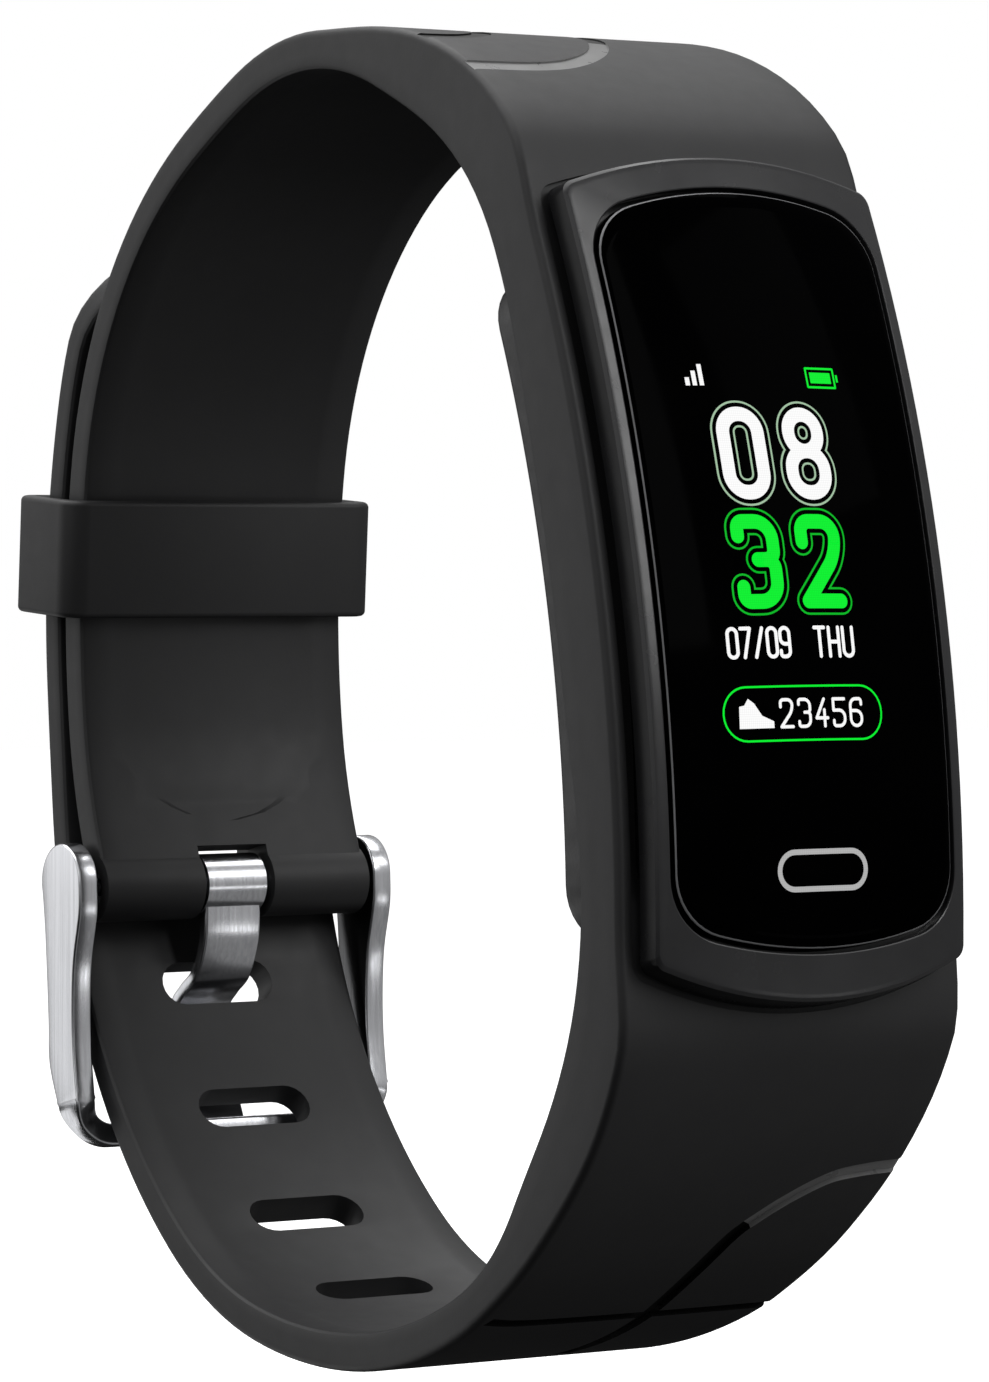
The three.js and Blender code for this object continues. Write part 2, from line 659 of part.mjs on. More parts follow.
function rearCover() {
  const foot = SHELL_HALF - COVER_CHAMFER;
  const rim = bentBar([
    [-foot, COVER_H], [foot, COVER_H], [SHELL_HALF, COVER_H + COVER_CHAMFER],
    [SHELL_HALF, COVER_TOP_H], [-SHELL_HALF, COVER_TOP_H], [-SHELL_HALF, COVER_H + COVER_CHAMFER],
  ]).intersect(plate(roundedRect(SHELL_HALF, SHELL_LONG, SHELL_FILLET), 0, CUT_HIGH));
  const inside = slab(CUT_HALF, COVER_H + COVER_FLOOR, CUT_HIGH).intersect(caseInside());
  let made = rim.subtract(inside).subtract(disc(SENSOR_HOLE_R, 0, CUT_HIGH, 0, SENSOR_V));
  for (const x of [-CONTACT_X, CONTACT_X]) {
    made = made.subtract(disc(CONTACT_HOLE_R, 0, CUT_HIGH, x, CONTACT_V));
  }
  return made;
}

// A rubber ring between the two halves of the case.
function caseGasket() {
  const ring = (inset, fillet) => (
    plate(roundedRect(SHELL_HALF - inset, SHELL_LONG - inset, fillet), 0, CUT_HIGH)
  );
  return slab(CUT_HALF, COVER_TOP_H + 0.2, SHELL_BASE_H - 0.2)
    .intersect(ring(0.2, 3))
    .subtract(ring(0.9, 2.3));
}

// A flat part with its middle left open, so that only a border remains.
function frameRing([halfX, halfV, low, high, x, v], border) {
  const opening = block(halfX - border, halfV - border, low - 1, high + 1, x, v);
  return block(halfX, halfV, low, high, x, v).subtract(opening);
}

function midFrame() {
  const { half, long, fillet, low, high } = MID_FRAME;
  let made = plate(roundedRect(half, long, fillet), low, high);
  for (const slot of FRAME_SLOTS) made = made.subtract(block(...slot));
  return made;
}

// The board is cut away round the motor.
function mainBoard() {
  return block(...MAIN_BOARD).subtract(disc(MOTOR_R + 0.5, 14, 16, MOTOR_X, MOTOR_V));
}

function motorBase() {
  return disc(MOTOR_R, MOTOR_BASE_H, MOTOR_BASE_H + 0.3)
    .add(disc(SHAFT_R, MOTOR_BASE_H + 0.2, MOTOR_CAN_TOP_H - 0.6, 0, 0, 12));
}

function motorCan() {
  const open = MOTOR_CAN_TOP_H - MOTOR_WALL;
  return disc(MOTOR_R, MOTOR_BASE_H + 0.5, MOTOR_CAN_TOP_H)
    .subtract(disc(MOTOR_R - MOTOR_WALL, MOTOR_BASE_H - 0.2, open));
}

function motorRotor() {
  const low = MOTOR_BASE_H + 0.6;
  const high = low + 1.2;
  const half = new THREE.Shape().absarc(0, 0, WEIGHT_R, 0, Math.PI);
  return plate(half, low, high, 8)
    .add(disc(HUB_R, low, high, 0, 0, 16))
    .subtract(disc(HUB_BORE_R, low - 1, high + 1, 0, 0, 12));
}

function lightBaffle() {
  let made = disc(3.1, 12.5, 13);
  for (const x of [-LED_X, 0, LED_X]) made = made.subtract(block(...BAFFLE_HOLE, x, 0));
  return made;
}

// A flat-headed stud whose stem reaches in towards the board.
function chargeContact() {
  return lathe([[0, 0], [1.1, 0], [1.1, 0.7], [0.5, 0.7], [0.5, 1.7], [0, 1.7]], 18)
    .rotateX(Math.PI);
}

function touchElectrode() {
  const { half, long, fillet, v, low, high } = TOUCH_KEY;
  return plate(roundedRect(half, long, fillet, v), low, high);
}

// ---------- assembly ----------

function place(mesh, x, y, z) {
  mesh.position.set(x, y, z);
  return mesh;
}

function group(name, children) {
  const made = new THREE.Group();
  made.name = name;
  made.add(...children);
  return made;
}

function motor() {
  const parts = group("vibration_motor", [
    node("motor_base", motorBase(), "foil"),
    node("motor_can", motorCan(), "steel"),
    node("motor_rotor", motorRotor(), "foil"),
  ]);
  return place(parts, MOTOR_X, 0, MOTOR_V);
}

function opticalSensor() {
  const chip = () => block(...SENSOR_CHIP);
  const parts = group("optical_sensor", [
    node("sensor_board", disc(3.3, 13.35, 13.8), "board"),
    place(node("led_left", chip(), "led"), -LED_X, 0, 0),
    place(node("led_right", chip(), "led"), LED_X, 0, 0),
    node("photodiode", chip(), "chip"),
    node("light_baffle", lightBaffle(), "chip"),
    node("sensor_window", disc(3.35, COVER_H + 0.05, COVER_H + COVER_FLOOR), "clear"),
  ]);
  return place(parts, 0, 0, SENSOR_V);
}

function capsule() {
  const contactY = CONTACT_PROUD - COVER_H;
  const parts = group("capsule", [
    node("front_shell", frontShell(), "shell"),
    node("lens", lens(), "glass"),
    node("touch_electrode", touchElectrode(), "gold"),
    node("display_panel", block(...DISPLAY_PANEL), "glass"),
    node("display_cushion", frameRing(DISPLAY_CUSHION, CUSHION_BORDER), "foam"),
    node("mid_frame", midFrame(), "shell"),
    node("flex_connector", block(...FLEX_CONNECTOR), "chip"),
    node("main_board", mainBoard(), "board"),
    node("processor_shield", block(...PROCESSOR_SHIELD), "foil"),
    node("accelerometer", block(...ACCELEROMETER), "chip"),
    node("battery", block(...BATTERY), "foil"),
    node("battery_tape", block(...BATTERY_TAPE), "foam"),
    motor(),
    opticalSensor(),
    place(node("charge_contact_left", chargeContact(), "gold"), -CONTACT_X, contactY, CONTACT_V),
    place(node("charge_contact_right", chargeContact(), "gold"), CONTACT_X, contactY, CONTACT_V),
    node("case_gasket", caseGasket(), "foam"),
    node("rear_cover", rearCover(), "shell"),
  ]);
  return place(parts, 0, 0, LOOP_START.y);
}

const strap = group("strap", [
  node("strap_body", strapBody(), "silicone"),
  node("strap_tail", strapTail(), "silicone"),
  node("keeper", keeper(), "silicone"),
]);

const buckle = group("buckle", [
  node("buckle_frame", buckleFrame(), "steel"),
  node("prong", prong(), "steel"),
  node("spring_bar_tube", springTube(), "steel"),
  node("spring_bar_spring", coilSpring(), "steel"),
  node("spring_bar_tip_left", springTip(-1), "steel"),
  node("spring_bar_tip_right", springTip(1), "steel"),
]);

const squareToCapsule = group("band", [strap, capsule(), buckle]);
squareToCapsule.position.set(0, -WRIST_Y, -WRIST_Z);
const tracker = group("fitness_tracker_band", [squareToCapsule]);
const standing = group("standing", [tracker]);
tracker.rotation.x = -LEAN;

export default standing;
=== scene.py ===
# Looks for a fitness tracker band: silicone strap, capsule with a lit display, pin buckle and keeper.
# Shapes are drawn in millimetres in the capsule's own axes (X across the wrist, -Y out of the display,
# Z along the display). settle() then leans them back and scales them to the row frame.
import math

import bmesh
import bpy
import numpy as np
from mathutils import Matrix, Vector


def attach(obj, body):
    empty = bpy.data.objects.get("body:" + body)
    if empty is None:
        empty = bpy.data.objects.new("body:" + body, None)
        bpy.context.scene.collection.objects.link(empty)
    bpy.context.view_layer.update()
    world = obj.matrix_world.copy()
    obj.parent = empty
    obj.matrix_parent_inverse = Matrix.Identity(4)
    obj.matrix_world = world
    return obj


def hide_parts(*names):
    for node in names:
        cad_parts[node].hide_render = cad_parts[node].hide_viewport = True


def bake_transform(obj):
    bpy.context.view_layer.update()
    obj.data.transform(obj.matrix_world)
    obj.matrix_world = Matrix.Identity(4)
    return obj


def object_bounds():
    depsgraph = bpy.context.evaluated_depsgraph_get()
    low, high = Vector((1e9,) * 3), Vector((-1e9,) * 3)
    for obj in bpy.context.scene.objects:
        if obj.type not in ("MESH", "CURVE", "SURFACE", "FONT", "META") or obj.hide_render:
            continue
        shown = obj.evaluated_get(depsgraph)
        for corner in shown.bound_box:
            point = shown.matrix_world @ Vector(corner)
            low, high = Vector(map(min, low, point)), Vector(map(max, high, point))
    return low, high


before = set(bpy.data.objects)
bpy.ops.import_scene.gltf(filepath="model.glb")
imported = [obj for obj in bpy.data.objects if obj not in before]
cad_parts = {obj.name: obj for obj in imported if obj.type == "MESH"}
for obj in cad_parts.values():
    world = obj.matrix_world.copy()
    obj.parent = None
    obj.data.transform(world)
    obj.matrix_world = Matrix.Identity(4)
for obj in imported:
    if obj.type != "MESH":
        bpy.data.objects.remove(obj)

cad_low, cad_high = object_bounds()

# ---------- driving sizes, the same as the frame's ----------

MM = 0.001
DEG = math.pi / 180
LEAN = 12.2 * DEG
WRIST_Y = 13.3
WRIST_Z = 1.8

LOOP_START = (-13.5, 2.7)
UPPER_ARCS = [(18.5, 14.9), (31.7, 85.5), (6, 5.5), (23, 52.7), (14.8, 16.1), (5.5, 10.2)]
LOWER_ARCS = [
    (11.4, 6.1), (22.5, 40.8), (8.9, 30.9), (22.1, 34.6), (9.7, 25.7),
    (27.8, 48.7), (8.3, 1.2), (16.7, 19.1), (10.5, 28),
]
UPPER_END = sum(length for length, _ in UPPER_ARCS)

HALF_AT_CAPSULE = 10.6
CAPSULE_FLARE = 0.35
HALF_AT_BACK = 9.1
FLARE_FROM = 19
FLARE_GONE = 29
NARROW_FROM = 24
NARROW_TO = 60
BACK_THICK = 2.2
TAIL_THICK = 1.9
THIN_FROM = 20
THIN_TO = 41
TAIL_THIN_AT = 95
EDGE_ROUND = 0.45
WRIST_ROUND = 0.35
RELIEF = 1
RELIEF_AT_ENDS = 0.85
RELIEF_FROM = 4
RELIEF_FULL = 19
RELIEF_GONE = 34
SEAM = 54
TAIL_END = 137.6
TIP_ROUND = 7
ROLL_OVERLAP = 4.2
SLOT_FIRST = 66.7
SLOT_PITCH = 8.4
SLOT_COUNT = 8
SLOT_WIDE = 7.6
SLOT_TALL = 2.7

BEND_CENTRE = 71.1
SEAT_H = 19
SEAT_REACH = 22
SEAT_GAP = 0.25  # between the capsule and the strap round it
SOCKET_ROUND = 3.4
SOCKET_FOOT_H = 5
CUT_TOP_H = 26  # above the whole capsule
END_SWELL = 0.5
SWELL_FROM = 17
SWELL_FULL = 22
BEZEL_HALF = 9.9
BEZEL_CORNER = 20.7
BEZEL_BOW_TOP = 1.6
BEZEL_BOW_FOOT = 2.2
BEZEL_H = 21
CROWN = 0.9
FLANGE_H = 19.3
LENS_HALF = 8.85
LENS_CORNER = 18.6
LENS_BOW = 1.65
LENS_H = 20.85
SHELL_HALF = 9.05
SHELL_LONG = 18.2
SHELL_ROUND = 3.2
WALL = 1.1
INNER_ROUND = 2.2
FLAT_BOW = 0.02  # the bow of an end that is as good as straight
WINDOW_HALF = 7.3
WINDOW_LONG = 16.9
SHELL_BASE_H = 14.5
COVER_TOP_H = 13.6
COVER_H = 10.9
COVER_FLOOR = 0.95
SENSOR_V = -2.6
COVER_ROUND = 0.6
COVER_HOLES = [(0, SENSOR_V, 3.6), (-3, 11, 1.35), (3, 11, 1.35)]  # x, v, radius: sensor and two contacts

PIN = (40.15, -4)
ROLL_R = 2.1
BORE_R = 1.25
TUBE_R = 1
PIN_HOLE_R = 0.65
PIN_HOLE_WALL = 0.3
CHEEK_IN = 9.6
CHEEK_THICK = 1.3
CHEEK_HEAD = (40.7, -3.6, 2.35)
LEG_END_Z = -16.55
LEG_FRONT = 41.45
LEG_BACK = 43.9
BAR_FRONT = 41.95
BAR_BACK = 43.4
FRAME_BEND = 1.4
PRONG_HALF = 1.95
PRONG_THICK = 0.8
EYE_HALF = 2
EYE_R = 1.8
NOTCH_GAP = 0.4  # on each side of the prong's eye
NOTCH_HALF_DEEP = 4
NOTCH_HALF_TALL = 3.1

KEEPER_AT = 84.2
KEEPER_TALL = 7
KEEPER_HALF = 10.75
KEEPER_WALL = 1
KEEPER_DEEP = 7.2
KEEPER_MIDDLE = 2.25


# ---------- small mathematics ----------

def smooth(low, high, value):
    t = min(1, max(0, (value - low) / (high - low)))
    return t * t * (3 - 2 * t)


def lerp(a, b, t):
    return a + (b - a) * t


def arc_chain(start, heading, arcs, sign):
    """A function from distance to (y, z, heading) along tangent arcs."""
    y, z = start
    pieces = []
    for length, turn in arcs:
        bend = sign * turn * DEG / length
        pieces.append((y, z, heading, length, bend))
        after = heading + bend * length
        y += (math.sin(after) - math.sin(heading)) / bend
        z -= (math.cos(after) - math.cos(heading)) / bend
        heading = after

    def at(distance):
        for piece in pieces:
            if distance <= piece[3] or piece is pieces[-1]:
                break
            distance -= piece[3]
        y0, z0, h0, _, bend = piece
        h = h0 + bend * distance
        return y0 + (math.sin(h) - math.sin(h0)) / bend, z0 - (math.cos(h) - math.cos(h0)) / bend, h

    return at


upper_chain = arc_chain(LOOP_START, 90 * DEG, UPPER_ARCS, -1)
lower_chain = arc_chain(LOOP_START, -90 * DEG, LOWER_ARCS, 1)


def on_loop(s):
    """Foot, along and out, as (y, z) pairs, at distance s from the capsule's middle."""
    y, z, heading = upper_chain(s) if s >= 0 else lower_chain(-s)
    if s < 0:
        heading += math.pi
    along = np.array([math.cos(heading), math.sin(heading)])
    out = np.array([-math.sin(heading), math.cos(heading)])
    return np.array([y, z]), along, out


def half_width(s):
    flare = CAPSULE_FLARE * (1 - smooth(FLARE_FROM, FLARE_GONE, abs(s)))
    return lerp(HALF_AT_CAPSULE, HALF_AT_BACK, smooth(NARROW_FROM, NARROW_TO, abs(s))) + flare


def seat_thickness(s):
    foot, _, out = on_loop(s)
    y, z = foot[0] - BEND_CENTRE, foot[1] - LOOP_START[1]
    b = y * out[0] + z * out[1]
    c = y * y + z * z - (BEND_CENTRE + SEAT_H) ** 2
    return -b + math.sqrt(b * b - c)


def thickness(s):
    if s < -SEAM:
        return lerp(BACK_THICK, TAIL_THICK, smooth(SEAM, TAIL_THIN_AT, -s))
    seat = seat_thickness(max(-SEAT_REACH, min(SEAT_REACH, s)))
    swell = END_SWELL * smooth(SWELL_FROM, SWELL_FULL, abs(s))
    return lerp(seat + swell, BACK_THICK, smooth(THIN_FROM, THIN_TO, abs(s)))


def spots(low, high, step):
    count = max(1, math.ceil(abs(high - low) / step))
    return [low + (high - low) * i / count for i in range(count + 1)]


def arc_points(cx, cy, radius, start, end, steps):
    turns = [lerp(start, end, i / steps) * DEG for i in range(steps + 1)]
    return [(cx + radius * math.cos(a), cy + radius * math.sin(a)) for a in turns]


def line_points(a, b, steps):
    """Points between a and b, without either end."""
    return [(lerp(a[0], b[0], i / steps), lerp(a[1], b[1], i / steps)) for i in range(1, steps)]


def catmull(points, per_span):
    """A smooth line through the points."""
    points = [np.array(p, float) for p in points]
    ends = [points[0], *points, points[-1]]
    made = []
    for i in range(len(points) - 1):
        p0, p1, p2, p3 = ends[i:i + 4]
        v0, v1 = (p2 - p0) / 2, (p3 - p1) / 2
        for k in range(per_span):
            t = k / per_span
            made.append((2 * p1 - 2 * p2 + v0 + v1) * t ** 3
                        + (-3 * p1 + 3 * p2 - 2 * v0 - v1) * t ** 2 + v0 * t + p1)
    return [*made, points[-1]]


# ---------- meshes ----------

def settle():
    """The matrix from millimetres in the capsule's axes to the row frame."""
    return (Matrix.Scale(MM, 4) @ Matrix.Rotation(-LEAN, 4, "X")
            @ Matrix.Translation((0, -WRIST_Y, -WRIST_Z)))


def new_object(name, points, faces):
    mesh = bpy.data.meshes.new(name)
    mesh.from_pydata([tuple(p) for p in points], [], faces)
    bm = bmesh.new()
    bm.from_mesh(mesh)
    bmesh.ops.recalc_face_normals(bm, faces=bm.faces)
    bm.to_mesh(mesh)
    bm.free()
    made = bpy.data.objects.new(name, mesh)
    bpy.context.scene.collection.objects.link(made)
    return made


def loft(name, rings, looped=False):
    """Joins rings of equal point count; looped also joins the last ring to the first."""
    count = len(rings[0])
    points = [p for ring in rings for p in ring]
    faces = []
    pairs = list(zip(range(len(rings) - 1), range(1, len(rings))))
    if looped:
        pairs.append((len(rings) - 1, 0))
    for a, b in pairs:
        for i in range(count):
            j = (i + 1) % count
            faces.append((a * count + i, a * count + j, b * count + j, b * count + i))
    if not looped:
        faces.append(tuple(range(count)))
        faces.append(tuple((len(rings) - 1) * count + i for i in range(count)))
    return new_object(name, points, faces)


def apply_modifiers(obj):
    graph = bpy.context.evaluated_depsgraph_get()
    mesh = bpy.data.meshes.new_from_object(obj.evaluated_get(graph))
    obj.modifiers.clear()
    obj.data = mesh


def combine(obj, tool, operation="DIFFERENCE"):
    """Cuts tool out of obj, or joins it on, and removes tool."""
    if obj.data.materials and not tool.data.materials:
        tool.data.materials.append(obj.data.materials[0])
    change = obj.modifiers.new("combine", "BOOLEAN")
    change.object = tool
    change.operation = operation
    change.solver = "MANIFOLD"
    apply_modifiers(obj)
    bpy.data.objects.remove(tool)


def finish_piece(obj, material, body, replaces=(), sharp=32, keeps_slots=False):
    """Shades a piece, gives it its material unless it keeps its own, and hands it to its body."""
    obj.data.transform(settle())
    if not keeps_slots:
        obj.data.materials.clear()
        obj.data.materials.append(material)
    obj.data.polygons.foreach_set("use_smooth", [True] * len(obj.data.polygons))
    obj.data.set_sharp_from_angle(angle=sharp * DEG)
    if body:
        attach(obj, body)
    if replaces:
        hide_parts(*replaces)
    return obj


# ---------- materials ----------

PIXEL = 0.00012  # metres from one display pixel to the next


def material(name, colour, roughness, metallic=0.0):
    made = bpy.data.materials.new(name)
    made.use_nodes = True
    shader = made.node_tree.nodes["Principled BSDF"]
    shader.inputs["Base Color"].default_value = (*colour, 1)
    shader.inputs["Roughness"].default_value = roughness
    shader.inputs["Metallic"].default_value = metallic
    return made


def add(made, kind, **values):
    node = made.node_tree.nodes.new(kind)
    for key, value in values.items():
        if key in node.inputs:
            node.inputs[key].default_value = value
        else:
            setattr(node, key, value)
    return node


def link(made, source, target):
    made.node_tree.links.new(source, target)


def place_coordinates(made, stretch=(1, 1, 1)):
    """Object coordinates in metres, stretched along each axis."""
    where = add(made, "ShaderNodeTexCoord")
    mapping = add(made, "ShaderNodeMapping")
    mapping.inputs["Scale"].default_value = stretch
    link(made, where.outputs["Object"], mapping.inputs["Vector"])
    return mapping.outputs["Vector"]


def mottle(made, colour_a, colour_b, size, coordinates):
    """Drifts the base colour between two near shades over patches of the given size."""
    noise = add(made, "ShaderNodeTexNoise", Scale=1 / size, Detail=4.0, Roughness=0.55)
    link(made, coordinates, noise.inputs["Vector"])
    ramp = add(made, "ShaderNodeValToRGB")
    ramp.color_ramp.elements[0].position = 0.35
    ramp.color_ramp.elements[1].position = 0.65
    ramp.color_ramp.elements[0].color = (*colour_a, 1)
    ramp.color_ramp.elements[1].color = (*colour_b, 1)
    link(made, noise.outputs["Fac"], ramp.inputs["Fac"])
    shader = made.node_tree.nodes["Principled BSDF"]
    link(made, ramp.outputs["Color"], shader.inputs["Base Color"])


def vary_roughness(made, low, high, size, coordinates):
    noise = add(made, "ShaderNodeTexNoise", Scale=1 / size, Detail=3.0)
    link(made, coordinates, noise.inputs["Vector"])
    spread = add(made, "ShaderNodeMapRange")
    spread.inputs["From Min"].default_value = 0.3
    spread.inputs["From Max"].default_value = 0.7
    spread.inputs["To Min"].default_value = low
    spread.inputs["To Max"].default_value = high
    link(made, noise.outputs["Fac"], spread.inputs["Value"])
    shader = made.node_tree.nodes["Principled BSDF"]
    link(made, spread.outputs["Result"], shader.inputs["Roughness"])


def grain(made, size, height, coordinates, strength=0.5):
    """Fine moulded texture, as bump."""
    noise = add(made, "ShaderNodeTexNoise", Scale=1 / size, Detail=2.0)
    link(made, coordinates, noise.inputs["Vector"])
    bump = add(made, "ShaderNodeBump", Strength=strength, Distance=height)
    link(made, noise.outputs["Fac"], bump.inputs["Height"])
    shader = made.node_tree.nodes["Principled BSDF"]
    link(made, bump.outputs["Normal"], shader.inputs["Normal"])


def silicone():
    made = material("silicone_black", (0.016, 0.016, 0.017), 0.5)
    place = place_coordinates(made)
    mottle(made, (0.0152, 0.0152, 0.0162), (0.0172, 0.0172, 0.0182), 0.004, place)
    vary_roughness(made, 0.49, 0.53, 0.0012, place)
    grain(made, 0.00016, 0.000012, place, 0.35)
    return made


# Makes the groove copies of the silicone; their colours are painted highlight, painted shade and painted
# shadow.
def painted_light_groove_silicone(name, shade, roughness, shine):
    made = material(name, (shade, shade, shade * 1.03), roughness)
    made.node_tree.nodes["Principled BSDF"].inputs["Specular IOR Level"].default_value = shine
    place = place_coordinates(made)
    mottle(made, [shade * 0.9] * 3, [shade * 1.1] * 3, 0.002, place)
    vary_roughness(made, roughness - 0.03, roughness + 0.03, 0.001, place)
    return made


def bezel_plastic(name="bezel_graphite", shade=0.022, shine=0.5):
    made = material(name, (shade, shade, shade * 1.06), 0.25)
    made.node_tree.nodes["Principled BSDF"].inputs["Specular IOR Level"].default_value = shine
    place = place_coordinates(made)
    darker = [shade * k for k in (0.9, 0.9, 0.96)]
    lighter = [shade * k for k in (1.12, 1.12, 1.2)]
    mottle(made, darker, lighter, 0.004, place)
    vary_roughness(made, 0.22, 0.28, 0.0016, place)
    grain(made, 0.00009, 0.000003, place, 0.1)
    return made


def cover_plastic():
    made = material("cover_plastic", (0.018, 0.018, 0.019), 0.4)
    place = place_coordinates(made)
    mottle(made, (0.016, 0.016, 0.017), (0.021, 0.021, 0.022), 0.003, place)
    vary_roughness(made, 0.36, 0.5, 0.0012, place)
    grain(made, 0.00022, 0.00002, place, 0.5)
    return made


def lens_glass():
    made = material("lens_glass", (0.0004, 0.0004, 0.0005), 0.06)
    shader = made.node_tree.nodes["Principled BSDF"]
    shader.inputs["Specular IOR Level"].default_value = 0.004
    place = place_coordinates(made)
    mottle(made, (0.0003, 0.0003, 0.0004), (0.0006, 0.0006, 0.0007), 0.009, place)
    vary_roughness(made, 0.04, 0.09, 0.005, place)
    return made


# Light grey for the lens chamfer: a painted highlight.
def lens_edge_painted_highlight():
    made = material("lens_edge_painted_highlight", (0.2, 0.2, 0.21), 0.25)
    place = place_coordinates(made)
    mottle(made, (0.18, 0.18, 0.185), (0.23, 0.23, 0.24), 0.003, place)
    return made


def brushed_steel(name="steel_brushed", along="X", shade=0.84):
    made = material(name, (shade, shade, shade * 1.04), 0.2, metallic=1.0)
    stretch = {"X": (0.02, 1, 1), "Y": (1, 0.02, 1), "Z": (1, 1, 0.02)}[along]
    place = place_coordinates(made, stretch)
    darker = (shade * 0.93, shade * 0.94, shade * 0.98)
    lighter = (shade * 1.07, shade * 1.08, shade * 1.12)
    mottle(made, darker, lighter, 0.0002, place)
    vary_roughness(made, 0.17, 0.26, 0.00015, place)
    grain(made, 0.00008, 0.000002, place, 0.2)
    return made


def circuit_board():
    made = material("circuit_board", (0.012, 0.07, 0.03), 0.35)
    place = place_coordinates(made)
    bricks = add(made, "ShaderNodeTexBrick", Scale=900.0)
    bricks.inputs["Color1"].default_value = (0.01, 0.075, 0.03, 1)
    bricks.inputs["Color2"].default_value = (0.014, 0.06, 0.026, 1)
    bricks.inputs["Mortar"].default_value = (0.03, 0.14, 0.06, 1)
    link(made, place, bricks.inputs["Vector"])
    shader = made.node_tree.nodes["Principled BSDF"]
    link(made, bricks.outputs["Color"], shader.inputs["Base Color"])
    return made


def plain_part(name, colour, roughness, metallic=0.0, size=0.0015, spread=0.12):
    """A small inner part: its colour drifts a little and its surface has a fine texture."""
    made = material(name, colour, roughness, metallic)
    place = place_coordinates(made)
    darker = tuple(c * (1 - spread) for c in colour)
    lighter = tuple(min(1, c * (1 + spread)) for c in colour)
    mottle(made, darker, lighter, size, place)
    grain(made, size / 8, 0.000006, place, 0.3)
    return made


def lit_pixels(name, colour, strength):
    """Display light with the faint dark grid of its pixels."""
    made = material(name, (0.004, 0.004, 0.004), 0.4)
    place = place_coordinates(made)
    split = add(made, "ShaderNodeSeparateXYZ")
    link(made, place, split.inputs["Vector"])
    lines = []
    for axis in ("X", "Z"):
        wave = add(made, "ShaderNodeMath", operation="MULTIPLY")
        wave.inputs[1].default_value = 2 * math.pi / PIXEL
        link(made, split.outputs[axis], wave.inputs[0])
        cosine = add(made, "ShaderNodeMath", operation="COSINE")
        link(made, wave.outputs[0], cosine.inputs[0])
        lines.append(cosine)
    peak = add(made, "ShaderNodeMath", operation="MAXIMUM")
    link(made, lines[0].outputs[0], peak.inputs[0])
    link(made, lines[1].outputs[0], peak.inputs[1])
    dim = add(made, "ShaderNodeMapRange")
    dim.inputs["From Min"].default_value = 0.8
    dim.inputs["From Max"].default_value = 1.0
    dim.inputs["To Min"].default_value = strength
    dim.inputs["To Max"].default_value = 0.8 * strength
    link(made, peak.outputs[0], dim.inputs["Value"])
    shader = made.node_tree.nodes["Principled BSDF"]
    shader.inputs["Specular IOR Level"].default_value = 0.05
    shader.inputs["Emission Color"].default_value = (*colour, 1)
    link(made, dim.outputs["Result"], shader.inputs["Emission Strength"])
    return made


SILICONE = silicone()
# The grooves' silicone in three copies: a painted highlight where the groove faces the light, painted
# shade past its bend, and a near-black painted shadow in the deep lower grooves.
GROOVE_PAINTED_HIGHLIGHT = painted_light_groove_silicone("groove_painted_highlight", 0.2, 0.3, 0.6)
GROOVE_PAINTED_SHADE = painted_light_groove_silicone("groove_painted_shade", 0.007, 0.5, 0.25)
GROOVE_PAINTED_SHADOW = painted_light_groove_silicone("groove_painted_shadow", 0.003, 0.6, 0.1)
BEZEL = bezel_plastic()
# A darker copy of the bezel plastic: painted shade on the bezel's side wall.
BEZEL_SIDE_PAINTED_SHADE = bezel_plastic("bezel_side_painted_shade", 0.01, 0.15)
COVER = cover_plastic()
GLASS = lens_glass()
GLASS_EDGE_PAINTED_HIGHLIGHT = lens_edge_painted_highlight()
STEEL = brushed_steel()
STEEL_ALONG = brushed_steel("steel_brushed_long", "Z")
# A dark copy of the steel: painted shade on the cheeks' inner faces, between the cheeks and the strap.
STEEL_INNER_PAINTED_SHADE = brushed_steel("steel_inner_painted_shade", "Z", 0.12)


# ---------- strap ----------

def wrist_relief(s):
    """How far the wrist surface is set back beside the capsule."""
    away = abs(s)
    full = RELIEF + RELIEF_AT_ENDS * smooth(RELIEF_FROM, RELIEF_FULL, away)
    return full * (1 - smooth(RELIEF_FULL, RELIEF_GONE, away))


def strap_section(half, low, thick):
    """(x, n) points round the strap, from n = low on the wrist side to n = thick outside."""
    flat_steps, wall_steps = 14, 3
    outer = min(EDGE_ROUND, half * 0.9)
    inner = min(WRIST_ROUND, half * 0.5)
    right = arc_points(half - outer, thick - outer, outer, 0, 90, 7)
    left = arc_points(outer - half, thick - outer, outer, 90, 180, 7)
    foot_left = arc_points(inner - half, low + inner, inner, 180, 270, 3)
    foot_right = arc_points(half - inner, low + inner, inner, 270, 360, 3)
    return [
        *right, *line_points(right[-1], left[0], flat_steps),
        *left, *line_points(left[-1], foot_left[0], wall_steps),
        *foot_left, *line_points(foot_left[-1], foot_right[0], flat_steps),
        *foot_right, *line_points(foot_right[-1], right[0], wall_steps),
    ]


def on_strap(x, n, s):
    foot, _, out = on_loop(s)
    y, z = foot + out * n
    return (x, y, z)


def strap_ring(s, half):
    return [on_strap(x, n, s) for x, n in strap_section(half, wrist_relief(s), thickness(s))]


def cross_cylinder(name, radius, half, sides=48):
    """A cylinder across the wrist, about the spring bar's middle."""
    rings = [[(x, PIN[0] + radius * math.cos(a), PIN[1] + radius * math.sin(a))
              for a in (2 * math.pi * i / sides for i in range(sides))] for x in (-half, half)]
    return loft(name, rings)


